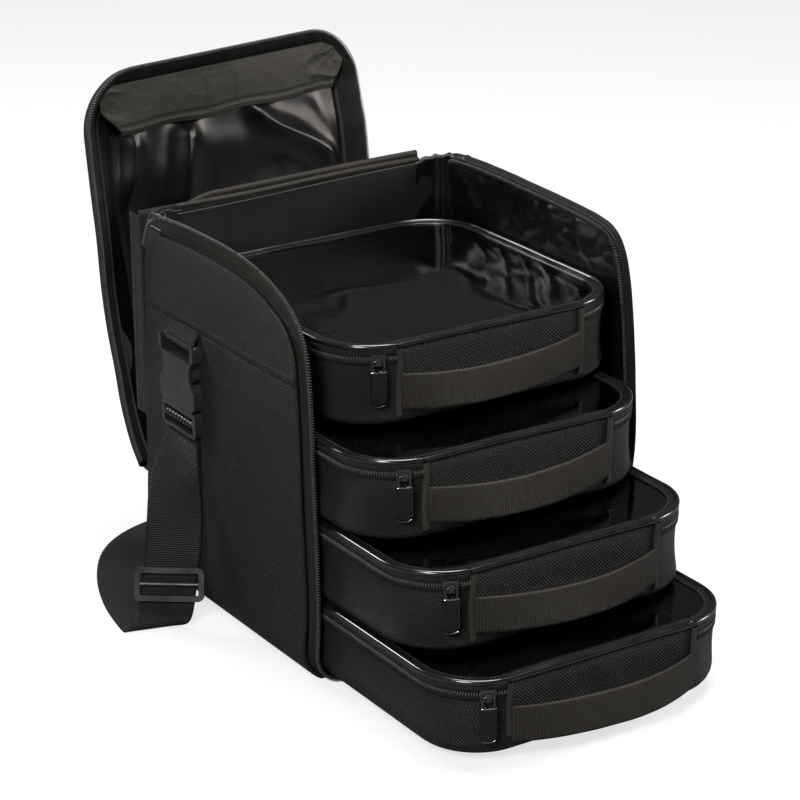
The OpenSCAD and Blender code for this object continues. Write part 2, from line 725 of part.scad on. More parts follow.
// Catmull-Rom between list[i] and list[i + 1].
function spline_at(list, i, t) = let (
    n = len(list) - 1,
    a = list[max(i - 1, 0)], b = list[i], c = list[min(i + 1, n)], d = list[min(i + 2, n)]
  ) 0.5 * (2 * b + (c - a) * t + (2 * a - 5 * b + 4 * c - d) * t * t + (3 * b - a - 3 * c + d) * pow(t, 3));
function spline(list, steps) = concat(
  [for (i = [0:len(list) - 2], k = [0:steps - 1]) spline_at(list, i, k / steps)], [list[len(list) - 1]]);

// A flat band, w wide and t thick, along points that each hold a place and a width direction.
module band(points, w, t, steps) {
  places = spline([for (q = points) q[0]], steps);
  across = spline([for (q = points) q[1]], steps);
  last = len(places) - 1;
  rings = [for (i = [0:last]) let (
      tangent = unit(places[min(i + 1, last)] - places[max(i - 1, 0)]),
      side = unit(across[i]),
      face = unit(cross(tangent, side))
    ) each [for (q = [[-1, -1], [1, -1], [1, 1], [-1, 1]])
      places[i] + side * q[0] * w / 2 + face * q[1] * t / 2]];
  sides = [for (i = [0:last - 1], k = [0:3]) let (j = (k + 1) % 4)
    each [[4 * i + k, 4 * i + 4 + k, 4 * i + 4 + j], [4 * i + k, 4 * i + 4 + j, 4 * i + j]]];
  ends = [[0, 1, 2], [0, 2, 3], [4 * last, 4 * last + 2, 4 * last + 1], [4 * last, 4 * last + 3, 4 * last + 2]];
  polyhedron(rings, concat(sides, ends));
}

adjust_i = 5;
module strap_double_left() {
  color(webbing) band([for (i = [0:adjust_i]) drop_points(-1)[i]], strap_w, 2 * web_t, 4);
}

// The single layer starts at the adjuster.
module strap_long() {
  left = drop_points(-1);
  start = [spline_at([for (q = left) q[0]], adjust_i, 0.03), left[adjust_i][1]];
  color(webbing) band(concat([start], [for (i = [adjust_i + 1:len(left) - 1]) left[i]], ground_points(-1),
                             [[[0, back_y + 81, strap_lie], [0, -1, 0]]],
                             reversed(ground_points(1)), reversed(drop_points(1))),
                      strap_w, web_t, 4);
}

// Adjuster: a rectangular frame with a middle bar, on the outer face of the strap.
module strap_adjuster() {
  frame_w = strap_w + 12;
  frame_h = 30;
  frame_t = 4;
  place = drop_points(-1)[adjust_i];
  below = drop_points(-1)[adjust_i + 1];
  side = unit(place[1]);
  fall = below[0] - place[0];
  down = unit(fall - (fall * side) * side);
  out = cross(side, -down);
  lift = web_t + 0.5;
  m = [[side[0], -down[0], out[0], place[0][0]],
       [side[1], -down[1], out[1], place[0][1]],
       [side[2], -down[2], out[2], place[0][2]],
       [0, 0, 0, 1]];
  color(plastic) multmatrix(m) {
    translate([0, -9, lift]) linear_extrude(frame_t) difference() {
      round_rect(frame_w, frame_h, 6);
      round_rect(strap_w + 2, frame_h - 10, 2);
    }
    translate([0, -9, lift + 1.8]) rotate([0, 90, 0]) cylinder(r = 1.8, h = strap_w + 4, center = true);
  }
}

base_panel();
base_board();
back_panel();
side_panel(-1);  // side_panel_left
side_panel(1);  // side_panel_right
body_lining();
body_zip();
hinge_welt();
strap_tabs();
buckle_shell(-1);  // buckle_shell_left
buckle_shell(1);  // buckle_shell_right
buckle_plug(-1);  // buckle_plug_left
buckle_plug(1);  // buckle_plug_right
buckle_arm(-1, 1);  // buckle_arm_left_front
buckle_arm(-1, -1);  // buckle_arm_left_back
buckle_arm(1, -1);  // buckle_arm_right_front
buckle_arm(1, 1);  // buckle_arm_right_back
strap_double_left();
strap_adjuster();
strap_long();
cover_top_panel();
cover_top_lining();
cover_top_zip();
cover_front_panel();
cover_front_lining();
cover_front_zip();
main_slider(-1, 1);  // main_slider_left
main_slider(1, 1);  // main_slider_right
main_pull(-1, 1);  // main_pull_left
main_pull(1, 1);  // main_pull_right
for (i = [0:3]) {
  pouch_tray(i);
  pouch_zip(i);
  pouch_lid_rim(i);
  pouch_window(i);
  pouch_handle(i);
  pouch_slider(i);
  pouch_pull(i);
}
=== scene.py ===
import bpy
import numpy as np
from mathutils import Matrix
from numpy import append, arange, array, clip, concatenate, cos, cross, full, hstack
from numpy import linspace, meshgrid, pi, radians, sin


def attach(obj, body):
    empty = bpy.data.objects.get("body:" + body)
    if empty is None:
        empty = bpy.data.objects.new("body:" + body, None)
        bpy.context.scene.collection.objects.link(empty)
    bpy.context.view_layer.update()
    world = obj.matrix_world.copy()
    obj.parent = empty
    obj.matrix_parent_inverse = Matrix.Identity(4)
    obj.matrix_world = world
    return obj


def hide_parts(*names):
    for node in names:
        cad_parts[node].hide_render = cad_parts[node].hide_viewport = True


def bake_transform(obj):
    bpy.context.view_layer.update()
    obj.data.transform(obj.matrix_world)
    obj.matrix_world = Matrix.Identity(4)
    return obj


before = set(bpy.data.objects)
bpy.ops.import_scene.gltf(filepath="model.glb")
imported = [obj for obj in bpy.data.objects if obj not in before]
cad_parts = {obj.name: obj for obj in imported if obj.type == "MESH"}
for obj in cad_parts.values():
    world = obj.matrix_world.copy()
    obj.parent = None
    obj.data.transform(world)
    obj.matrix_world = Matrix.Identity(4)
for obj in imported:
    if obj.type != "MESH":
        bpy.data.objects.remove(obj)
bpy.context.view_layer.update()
sides = ((-1, "left"), (1, "right"))
to_right, to_back, upward = np.eye(3)


# ---------------------------------------------------------------- camera, ground and light
# The camera stands where the photograph was taken from, to the left of the open front and a
# little above it, with a long lens. The case stands on a plain white studio ground.
def unit(v):
    """Vectors brought to length 1."""
    return v / np.maximum(np.linalg.norm(v, axis=-1, keepdims=True), 1e-9)


def stand(obj, axes, place):
    """Puts an object in the scene at place, in metres, with its own X, Y and Z along axes."""
    matrix = np.eye(4)
    matrix[:3, :3] = np.stack(axes, axis=1)
    matrix[:3, 3] = place
    obj.matrix_world = Matrix(matrix.tolist())
    bpy.context.scene.collection.objects.link(obj)


turn, rise, roll = radians([-32.577, 20.945, -0.337])
back = array([sin(turn) * cos(rise), -cos(turn) * cos(rise), sin(rise)])
level = unit(cross(-back, upward))
lift = cross(level, -back)
right = cos(roll) * level + sin(roll) * lift
up = cos(roll) * lift - sin(roll) * level
camera = bpy.data.objects.new("camera", bpy.data.cameras.new("camera"))
camera.data.lens = 126.05
camera.data.sensor_width = 36
camera.data.clip_end = 20
stand(camera, (right, up, back), (-1.243, -1.9683, 1.0707))
bpy.context.scene.camera = camera
bpy.context.scene.view_settings.view_transform = "Standard"


def softbox(name, place, aim, size, power):
    """A square area lamp at place, turned to face aim."""
    lamp = bpy.data.lights.new(name, "AREA")
    lamp.size = size
    lamp.energy = power
    z = unit(np.subtract(place, aim))
    x = unit(cross(upward, z) + 1e-6 * to_right)
    stand(bpy.data.objects.new(name, lamp), (x, cross(z, x), z), place)


softbox("key_softbox", (-1.5, -1.3, 1.5), (0, -0.1, 0.2), 0.55, 46)
softbox("right_softbox", (1.9, -0.9, 1.0), (0, -0.1, 0.2), 0.7, 30)
softbox("back_softbox", (-0.9, 1.9, 1.7), (0, 0, 0.3), 0.7, 30)
softbox("top_softbox", (0.3, 0.1, 2.4), (0, -0.1, 0.2), 1.1, 62)


def feed(tree, node, inputs):
    """Gives a node's inputs their values, or links them where a socket is given."""
    for key, value in inputs.items():
        if isinstance(value, bpy.types.NodeSocket):
            tree.links.new(value, node.inputs[key])
        else:
            node.inputs[key].default_value = value


def add(tree, kind, inputs=None, **settings):
    """Adds a shader node of that kind, with its settings and inputs."""
    made = tree.nodes.new("ShaderNode" + kind)
    for key, value in settings.items():
        setattr(made, key, value)
    feed(tree, made, inputs or {})
    return made


def math(tree, operation, a, b):
    """The result of a Math node on two sockets or numbers."""
    return add(tree, "Math", {0: a, 1: b}, operation=operation).outputs[0]


def tones(tree, value, low, high, high_at=1.0):
    """A colour that runs from low to high as a value runs from 0 to high_at."""
    made = add(tree, "ValToRGB", {0: value})
    first, last = made.color_ramp.elements
    first.color = (*low, 1)
    last.color = (*high, 1)
    last.position = high_at
    return made.outputs[0]


def new_material(name):
    """A material, its node tree and its Principled node."""
    made = bpy.data.materials.new(name)
    made.use_nodes = True
    return made, made.node_tree, made.node_tree.nodes["Principled BSDF"]


def sees_white(tree):
    """1 for a camera ray, and for one that has only gone through clear vinyl since the camera. These
    see a white set, and all other rays a dim one."""
    path = add(tree, "LightPath").outputs
    bounces = math(tree, "ADD", path["Diffuse Depth"], path["Glossy Depth"])
    through_vinyl = math(tree, "SUBTRACT", path["Is Transmission Ray"], bounces)
    return math(tree, "MAXIMUM", path["Is Camera Ray"], through_vinyl)


def new_object(name, places, faces, finish):
    """A mesh object in the scene, from places in metres."""
    mesh = bpy.data.meshes.new(name)
    mesh.from_pydata(places, [], faces)
    mesh.materials.append(finish)
    obj = bpy.data.objects.new(name, mesh)
    bpy.context.scene.collection.objects.link(obj)
    return obj


white = (1, 1, 1, 1)
world = bpy.data.worlds.new("studio")
world.use_nodes = True
tree = world.node_tree
tree.nodes.clear()
dim = add(tree, "Background", {"Color": white, "Strength": 0.07})
bright = add(tree, "Background", {"Color": white})
either = add(tree, "MixShader", {0: sees_white(tree), 1: dim.outputs[0], 2: bright.outputs[0]})
add(tree, "OutputWorld", {0: either.outputs[0]})
bpy.context.scene.world = world

ground_paint, tree, bsdf = new_material("studio_ground")
pale = tones(tree, sees_white(tree), (0.2, 0.2, 0.2), (0.9, 0.9, 0.9))
feed(tree, bsdf, {"Base Color": pale, "Roughness": 0.9, "Specular IOR Level": 0.1})
glow = add(tree, "Emission", {"Strength": 1.0})
glow_share = math(tree, "MULTIPLY", sees_white(tree), 0.72)
either = add(tree, "MixShader", {0: glow_share, 1: bsdf.outputs[0], 2: glow.outputs[0]})
feed(tree, tree.nodes["Material Output"], {"Surface": either.outputs[0]})
ground_half, ground_z = 9, -0.0006
corners = [(x * ground_half, y * ground_half, ground_z)
           for x, y in ((-1, -1), (1, -1), (1, 1), (-1, 1))]
new_object("studio_ground", corners, [(0, 1, 2, 3)], ground_paint)

# ---------------------------------------------------------------- side panels and base
# Padded panels of black polyester twill over thin foam. Each side panel turns in under the case at
# its bottom corner, and a fold of cloth runs across it, where the strap's tab is sewn in.
case_half = 163.0
corner_r = 28.0
seam_z = 268.0
tape_width = 16.0
floor_half, floor_front, panel_back = 134.9, -130.0, 147.0
side_rows, side_columns = 150, 96
front_end = 225
left_edge = [(-147, 28), (-150, 70), (-149, 125), (-146, 186), (-142, 261), (-135, 301), (-113, 328),
             (-69, 346), (-19, 353), (30, 354), (71, 353), (112, 349), (134, 338), (146, 316)]
right_edge = [(-147, 28), (-154, 80), (-157, 138), (-155, 205), (-150, 262), (-144, 300),
              (-135, 328), (-118, 345), (-92, 350.5), (-58, 352.7), (-23, 354), (12, 355), (60, 356),
              (109, 355), (136, 351), (147, 338)]


def points(*parts):
    """Points from their coordinates, which are numbers or arrays that fit each other."""
    return np.stack(np.broadcast_arrays(*parts), axis=-1)


def arc(degrees, wide=1.0, high=None):
    """Places on a circle or an ellipse about 0 at some angles."""
    a = radians(degrees)
    return points(wide * cos(a), (wide if high is None else high) * sin(a))


def lengths(line):
    """How far along the line each of its points lies."""
    return append(0, np.cumsum(np.linalg.norm(np.diff(line, axis=0), axis=1)))


def sample(line, run, at):
    """The line at the lengths at, where run holds the lengths of its own points."""
    return points(*[np.interp(at, run, column) for column in line.T])


def even(line, count):
    """A line resampled at equal steps of its own length."""
    run = lengths(line)
    return sample(line, run, linspace(0, run[-1], count))


def through(places, count):
    """A smooth line through places: a Catmull-Rom curve, resampled at equal steps."""
    p = np.asarray(places, float)
    q = np.vstack([2 * p[0] - p[1], p, 2 * p[-1] - p[-2]])
    t = linspace(0, len(p) - 1 - 1e-9, 30 * (len(p) - 1) + 1)
    i = t.astype(int)
    f = (t - i)[:, None]
    a, b, c, d = q[i], q[i + 1], q[i + 2], q[i + 3]
    line = 2 * b + (c - a) * f + (2 * a - 5 * b + 4 * c - d) * f**2 + (3 * b - a - 3 * c + d) * f**3
    return even(line / 2, count)


def smooth(x, low, high):
    """0 below low, 1 above high, with a soft S between them."""
    t = clip((x - low) / (high - low), 0, 1)
    return t * t * (3 - 2 * t)


def hump(x, low, high):
    """0 at low and at high, 1 midway, as half a sine wave."""
    return sin(pi * clip((x - low) / (high - low), 0, 1))


def bell(x, centre, width):
    """1 at the centre, falling off softly to both sides."""
    return np.exp(-(((x - centre) / width) ** 2))


def ruffle(p, size, seed, stretch=(1, 1, 1)):
    """Smooth wandering between about -1 and 1: nine sine waves with random directions, phases and
    lengths near size, in millimetres, added up."""
    rng = np.random.default_rng(seed)
    ways = unit(rng.normal(size=(9, 3))) * np.asarray(stretch, float)
    pace = 2 * pi / (size * rng.uniform(0.6, 1.8, 9))
    return sin((p @ ways.T) * pace + rng.uniform(0, 6.28, 9)).sum(axis=-1) / 4.5


def creases(p, size, seed, stretch=(1, 1, 1)):
    """Narrow ridges from 0 to 1: where the ruffle passes through nought."""
    return clip(1 - np.abs(ruffle(p, size, seed, stretch)) * 1.6, 0, 1) ** 2


def settle(obj, body, nodes=(), origin=None):
    """Says which body carries a piece and which CAD nodes it replaces.
    Where an origin is given, the piece moves there first."""
    if origin is not None:
        obj.data.transform(Matrix.Translation([c / 1000 for c in origin]))
    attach(obj, body)
    if nodes:
        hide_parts(*nodes)


def surface(name, grid, finish, body="", nodes=(), origin=None, loop=False, flip=False,
            wall=0.0):
    """Makes a piece from a grid of points in millimetres and settles it on its body. loop joins the
    last column to the first, and flip turns the faces over. The UV map holds the lengths along both
    directions in metres. wall is the cloth's thickness, which lies behind the faces."""
    nu, nv = grid.shape[:2]
    i, j = meshgrid(arange(nu - 1), arange(nv if loop else nv - 1), indexing="ij")
    k = (j + 1) % nv
    quads = points(i * nv + j, i * nv + k, (i + 1) * nv + k, (i + 1) * nv + j)
    ring = concatenate([grid, grid[:, :1]], axis=1) if loop else grid
    steps = [np.linalg.norm(np.diff(ring, axis=way), axis=2).max(axis=1 - way) for way in (0, 1)]
    along_u, along_v = [append(0, np.cumsum(step)) for step in steps]
    uv = np.stack([points(along_v[v], along_u[u])
                   for v, u in ((j, i), (j + 1, i), (j + 1, i + 1), (j, i + 1))], axis=2)
    if flip:
        quads = quads[..., ::-1]
        uv = uv[:, :, ::-1]
    obj = new_object(name, (grid / 1000).reshape(-1, 3), quads.reshape(-1, 4), finish)
    layer = obj.data.uv_layers.new(name="lengths")
    layer.data.foreach_set("uv", (uv / 1000).astype(np.float32).reshape(-1))
    obj.data.shade_smooth()
    if wall:
        shell = obj.modifiers.new("thickness", "SOLIDIFY")
        shell.thickness = wall / 1000
        shell.offset = -1
    if body:
        settle(obj, body, nodes, origin)
    return obj


def new_group(name, inputs, outputs):
    """An empty shader group with a Vector input, float inputs and the named outputs. With it come the
    sockets that hold its inputs, and the node that takes its outputs."""
    group = bpy.data.node_groups.new(name, "ShaderNodeTree")
    group.interface.new_socket(name="Vector", in_out="INPUT", socket_type="NodeSocketVector")
    for label, value in inputs.items():
        made = group.interface.new_socket(name=label, in_out="INPUT", socket_type="NodeSocketFloat")
        made.default_value = value
    for label in outputs:
        group.interface.new_socket(name=label, in_out="OUTPUT", socket_type="NodeSocketFloat")
    return group, group.nodes.new("NodeGroupInput").outputs, group.nodes.new("NodeGroupOutput")


def ribs(tree, run, pitch):
    """Ribs as a sine wave along a run, one to each pitch."""
    turns = math(tree, "MULTIPLY", math(tree, "DIVIDE", run, pitch), 6.2832)
    return math(tree, "SINE", turns, 0.0)


# Threads: ribs that run aslant, crossed by ribs that slant the other way, and the yarn's unevenness.
threads, given, leave = new_group("threads", {"Pitch": 0.0013, "Slant": 1.0, "Cross": 0.5},
                                  ["Height", "Shade"])
split = add(threads, "SeparateXYZ", {0: given["Vector"]}).outputs
lean = math(threads, "MULTIPLY", split[1], given["Slant"])
rib = ribs(threads, math(threads, "ADD", split[0], lean), given["Pitch"])
pick = ribs(threads, math(threads, "SUBTRACT", split[0], lean), given["Pitch"])
woven = math(threads, "ADD", rib, math(threads, "MULTIPLY", pick, given["Cross"]))
yarn = add(threads, "TexNoise", {"Vector": given["Vector"], "Scale": 900, "Detail": 3})
uneven = math(threads, "ADD", woven, math(threads, "MULTIPLY", yarn.outputs["Fac"], 0.7))
feed(threads, leave, {"Height": uneven, "Shade": math(threads, "MULTIPLY_ADD", uneven, 0.16)})

# Chevrons: the herringbone of zip tape, fine slanting ribs that turn back at each column's edge.
chevrons, given, leave = new_group("chevrons", {"Pitch": 0.0017, "Column": 0.0040}, ["Height", "Shade"])
split = add(chevrons, "SeparateXYZ", {0: given["Vector"]}).outputs
zigzag = math(chevrons, "PINGPONG", split[0], given["Column"])
slanted = math(chevrons, "ADD", split[1], math(chevrons, "MULTIPLY", zigzag, 0.8))
wave = ribs(chevrons, slanted, given["Pitch"])
feed(chevrons, leave, {"Height": wave, "Shade": math(chevrons, "MULTIPLY", wave, 0.2)})

# Wear: dust and rubbed places, in large soft clouds with a little fine grain in them.
wear, given, leave = new_group("wear", {"Size": 9.0, "Amount": 0.5}, ["Value"])
cloud = add(wear, "TexNoise", {"Vector": given["Vector"], "Scale": given["Size"], "Detail": 6})
centred = math(wear, "SUBTRACT", cloud.outputs["Fac"], 0.5)
feed(wear, leave, {"Value": math(wear, "MULTIPLY", centred, given["Amount"])})


def own_place(tree):
    """The place on the piece itself."""
    return add(tree, "TexCoord").outputs["Object"]


def worn(tree, size, amount, place=None):
    """The wear group on the piece's own place: a value a little above or below 0."""
    inputs = {"Vector": place or own_place(tree), "Size": size, "Amount": amount}
    return add(tree, "Group", inputs, node_tree=wear).outputs["Value"]


def cloth(name, colour, pitch, relief, slant, cross, rough, sheen, gloss, contrast,
          weave_group=threads):
    """A woven finish: a weave group on the piece's own lengths for shade and relief, and the wear group
    on its place for larger changes of tone. Colour is in thousandths, pitch and relief in mm."""
    mat, tree, bsdf = new_material(name)
    inputs = {"Vector": add(tree, "UVMap", uv_map="lengths").outputs[0], "Pitch": pitch / 1000}
    if weave_group == threads:
        inputs.update({"Slant": slant, "Cross": cross})
    weave = add(tree, "Group", inputs, node_tree=weave_group).outputs
    dust = worn(tree, 11, 0.7)
    tone = math(tree, "ADD", math(tree, "MULTIPLY", weave["Shade"], contrast), dust)
    low, high = [[c * share / 1000 for c in colour] for share in (0.3, 2.3)]
    bump = add(tree, "Bump", {"Strength": 0.55, "Distance": relief / 1000, "Height": weave["Height"]})
    feed(tree, bsdf, {
        "Base Color": tones(tree, math(tree, "ADD", tone, 0.16), low, high, 0.6),
        "Roughness": math(tree, "ADD", math(tree, "MULTIPLY", dust, 0.3), rough),
        "Normal": bump.outputs[0],
        "Specular IOR Level": gloss,
        "Specular Tint": (1.0, 0.93, 0.87, 1),
        "Sheen Weight": sheen,
        "Sheen Roughness": 0.45,
        "Sheen Tint": (1.0, 0.96, 0.93, 1),
    })
    return mat


# Colour, pitch, relief, slant, cross, roughness, sheen, gloss and contrast of each cloth.
twill, pouch_twill, tape_cloth, dark_tape, seam_tape, webbing, strap_webbing = [cloth(*row) for row in (
    ("black_twill", (5.0, 4.3, 3.8), 2.5, 0.9, 1.0, 0.8, 0.46, 0.006, 0.22, 1.5),
    ("pouch_twill", (5.6, 4.9, 4.4), 3.2, 1.1, 1.0, 1.0, 0.46, 0.006, 0.22, 2.6),
    ("zip_tape", (10.5, 9.6, 8.8), 2.4, 0.4, 0, 0.9, 0.55, 0.015, 0.2, 0.9),
    ("dark_tape", (4.2, 3.9, 3.6), 2.4, 0.3, 0, 0.5, 0.55, 0.006, 0.15, 0.6),
    ("seam_tape", (18.5, 17.0, 14.5), 2.4, 0.3, 0, 0.5, 0.5, 0.01, 0.25, 0.5),
    ("ribbed_webbing", (11.2, 10.0, 8.6), 2.6, 1.2, 0, 0, 0.5, 0.008, 0.2, 2.4),
    ("strap_webbing", (5.6, 5.0, 4.4), 2.1, 1.0, 0, 0, 0.5, 0.006, 0.18, 1.8),
)]
satin, cover_satin_painted_shade, matte_lining, flap_cloth = [cloth(*row) for row in (
    ("dark_satin", (1.5, 1.3, 1.2), 0.7, 0.04, 0, 0.3, 0.32, 0.002, 0.55, 0.25),
    # The cover's satin is the lining satin made darker and less glossy: painted shade.
    ("cover_satin_painted_shade", (1.1, 1.0, 0.9), 0.7, 0.04, 0, 0.3, 0.23, 0.001, 0.5, 0.25),
    ("matte_lining", (8.8, 7.9, 7.0), 0.7, 0.04, 0, 0.3, 0.5, 0.006, 0.25, 0.25),
    ("flap_lining", (15.0, 13.8, 11.2), 0.9, 0.05, 0, 0.3, 0.5, 0.01, 0.3, 0.3),
)]
herringbone = cloth("herringbone_tape", (16.5, 15.3, 12.8), 2.2, 0.6, 0, 0, 0.5, 0.012, 0.22, 1.5,
                    chevrons)


def inset(line, amount):
    """A line in Y and Z drawn in by an amount, towards the middle of the panel."""
    way = unit(np.gradient(line, axis=0))
    return line + amount * points(way[:, 1], -way[:, 0])


def outline(side):
    """The outer edge of a side panel with its zip, from the front bottom round to the back."""
    return through(left_edge if side < 0 else right_edge, 400)


def side_patch(side, amount):
    """A side panel in Y and Z as a Coons patch: its front, top, back and bottom edges, blended."""
    edge = inset(outline(side), amount)
    edge[:, 0] = np.minimum(edge[:, 0], panel_back)
    front = even(edge[:front_end], side_rows)
    top = even(edge[front_end - 1:], side_columns)
    foot = linspace(front[0], [panel_back, front[0, 1]], side_columns)
    rear = linspace(foot[-1], [top[-1, 0], top[-1, 1]], side_rows)
    u = linspace(0, 1, side_columns)[:, None]
    v = linspace(0, 1, side_rows)[:, None, None]
    ruled = (1 - v) * foot + v * top + (1 - u) * front[:, None] + u * rear[:, None]
    low = (1 - u) * foot[0] + u * foot[-1]
    high = (1 - u) * top[0] + u * top[-1]
    return ruled - (1 - v) * low - v * high


def side_wall(side, depth, amount, swell):
    """The side's skin at a depth under the outer face: the bottom corner as an arc, then the patch.
    swell gives how far each point stands out, from its place."""
    patch = side_patch(side, amount)
    angle = append(linspace(0, pi / 2, 9)[:-1], full(side_rows, pi / 2))[:, None]
    y, z = concatenate([np.repeat(patch[:1], 8, axis=0), patch]).transpose(2, 0, 1)
    r = corner_r - depth
    x = case_half - corner_r + r * sin(angle) + 0 * y
    z = np.where(angle < pi / 2, corner_r - r * cos(angle), z)
    bulge = swell(x, y, z) * smooth(z, 6, 30)
    return points(side * (x + sin(angle) * bulge), y, z - cos(angle) * bulge)


for side, word in sides:
    def swell(x, y, z):
        """A soft crown, slack waves, and the fold of cloth along the seam."""
        p = points(x * side, y, z)
        crown = 1.1 * hump(y, -131, panel_back) * hump(z, 0, seam_z)
        crown += 0.7 * smooth(z, 272, 300) * hump(y, -120, 130)
        slack = 0.55 * ruffle(p, 90, 3 + side) + 0.25 * ruffle(p, 30, 8 + side)
        fold = 1.3 * bell(z, seam_z, 1.3) - 0.9 * bell(z, seam_z - 3.2, 1.6)
        return crown + slack * smooth(z, 30, 60) + fold
    grid = side_wall(side, 0.0, tape_width + 0.6, swell)
    panel = surface(f"side_panel_{word}_cover", grid, twill, "case",
                    [f"side_panel_{word}"], flip=side > 0, wall=3.9)

x, y = meshgrid(linspace(-floor_half, floor_half, 60), linspace(floor_front, panel_back, 60))
from_side = floor_half - np.abs(x)
from_edge = np.minimum(from_side, np.minimum(y - floor_front, panel_back - y))
lifted = 0.15 + 0.9 * smooth(from_edge, 30, 0) * smooth(from_side, 0, 12)
grid = points(x, y, lifted + 0.1 * ruffle(points(x, y, 0.0), 60, 5))
base = surface("base_panel_cover", grid, twill, "case", ["base_panel"], wall=2.2)


def dress(node, finish):
    """Gives the mesh of a CAD node a finish."""
    node.data.materials.clear()
    node.data.materials.append(finish)


# The stiffening board between base panel and lining is plain grey board with a fibrous face.
board, tree, bsdf = new_material("grey_board")
fibre = add(tree, "TexNoise", {"Vector": own_place(tree), "Scale": 260, "Detail": 5})
grey = tones(tree, fibre.outputs["Fac"], (0.16, 0.15, 0.14), (0.26, 0.25, 0.23))
feed(tree, bsdf, {"Base Color": grey, "Roughness": 0.85})
dress(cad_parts["base_board"], board)

# ---------------------------------------------------------------- back panel and its binding
# A padded twill panel between the sides. Its top edge is bound with a folded tape, which a zigzag
# of thread holds, and its inner face is lined.
back_half, back_top, back_foot_r = 158.3, 346, 24.0
back_face, lining_y = 146.3, 142.0


def rounded_panel(half, foot, top, radius, rows, columns, bend_rows, foot_radius=0.0):
    """X and height over a panel with round top corners, and round foot corners where it has them."""
    bend = linspace(0, pi / 2, bend_rows + 1)[1:]
    straight = rows - bend_rows
    z = append(linspace(foot, top - radius, straight), top - radius + radius * sin(bend))
    w = append(full(straight, half), half - radius + radius * cos(bend))
    lost = np.sqrt(np.maximum(foot_radius**2 - (foot_radius - z) ** 2, 0))
    w = np.where(z < foot_radius, half - foot_radius + lost, w)
    return np.broadcast_arrays(w[:, None] * linspace(-1, 1, columns), z[:, None])


x, z = rounded_panel(back_half, 6, back_top, 16, 110, 90, 16, back_foot_r)
puff = 0.8 * cos(linspace(-1, 1, 90) * pi / 2) * hump(z, 0, back_top)
puff = puff + 0.4 * ruffle(points(x, panel_back, z), 80, 12)
grid = points(x, back_face + puff * 0.6, z)
back_panel = surface("back_panel_cover", grid, twill, "case", ["back_panel"], flip=True,
                     wall=3.6)


def carry(path, across, out, profile):
    """A profile carried along a path: each profile point is set off from each path point, first along
    across and then along out. Either can be one direction for the whole path."""
    across, out = [np.broadcast_to(way, path.shape)[:, None] for way in (across, out)]
    return path[:, None] + profile[:, :1] * across + profile[:, 1:] * out


def stitches(name, path, out, pitch, length, thick, finish):
    """A row of stitches: at each pitch along the path, a slim spindle with six points."""
    run = lengths(path)
    count = max(int(run[-1] / pitch), 1)
    at = (arange(count) + 0.5) * run[-1] / count
    way = unit(sample(path, run, at + 0.2) - sample(path, run, at - 0.2))
    face = unit(sample(np.broadcast_to(out, path.shape), run, at))
    beside = unit(cross(way, face)) * thick
    middle = sample(path, run, at) + face * 0.25
    half = way * length / 2
    places = np.stack([middle - half, middle + beside, middle + face * thick * 0.8,
                       middle - beside, middle - face * thick, middle + half], axis=1)
    spindle = array([[0, 1, 2], [0, 2, 3], [0, 3, 4], [0, 4, 1],
                     [5, 2, 1], [5, 3, 2], [5, 4, 3], [5, 1, 4]])
    faces = (spindle + 6 * arange(count)[:, None, None]).reshape(-1, 3)
    obj = new_object(name, (places / 1000).reshape(-1, 3), faces, finish)
    obj.data.shade_smooth()
    return obj


def yarn_finish(name, low, high):
    """Twisted sewing thread: a fine noise on its place runs the tone from low to high."""
    mat, tree, bsdf = new_material(name)
    ply = add(tree, "TexNoise", {"Vector": own_place(tree), "Scale": 700}).outputs["Fac"]
    dark, light = [(tone, tone * 0.92, tone * 0.84) for tone in (low, high)]
    feed(tree, bsdf,
         {"Base Color": tones(tree, ply, dark, light), "Roughness": 0.5, "Sheen Weight": 0.1})
    return mat


thread = yarn_finish("sewing_thread", 0.02, 0.09)
dark_thread = yarn_finish("dark_thread", 0.0008, 0.003)
light_thread = yarn_finish("light_thread", 0.06, 0.24)

band_half = 128
x = linspace(-band_half, band_half, 200)
top_line = points(x, 144.6, 343.8 + 3.5 * smooth(x, -band_half, band_half) + 0.4 * sin(x / 28))
a = radians(linspace(-90, 270, 25))
hem = points(3.3 * cos(a) * (1 - 0.25 * (sin(a) < 0)), np.where(sin(a) > 0, 2.6, 7.5) * sin(a))
surface("back_top_binding", carry(top_line, to_back, upward, hem), matte_lining, "case")
run = arange(0, 2 * band_half, 2.2)
zigzag = 338.2 + 6 * smooth(run, 0, 2 * band_half) + 0.25 * (arange(len(run)) % 2)
path = points(run - band_half, 141.0, zigzag)
settle(stitches("back_binding_zigzag", path, -to_back, 2.2, 2.2, 0.4, light_thread), "case")

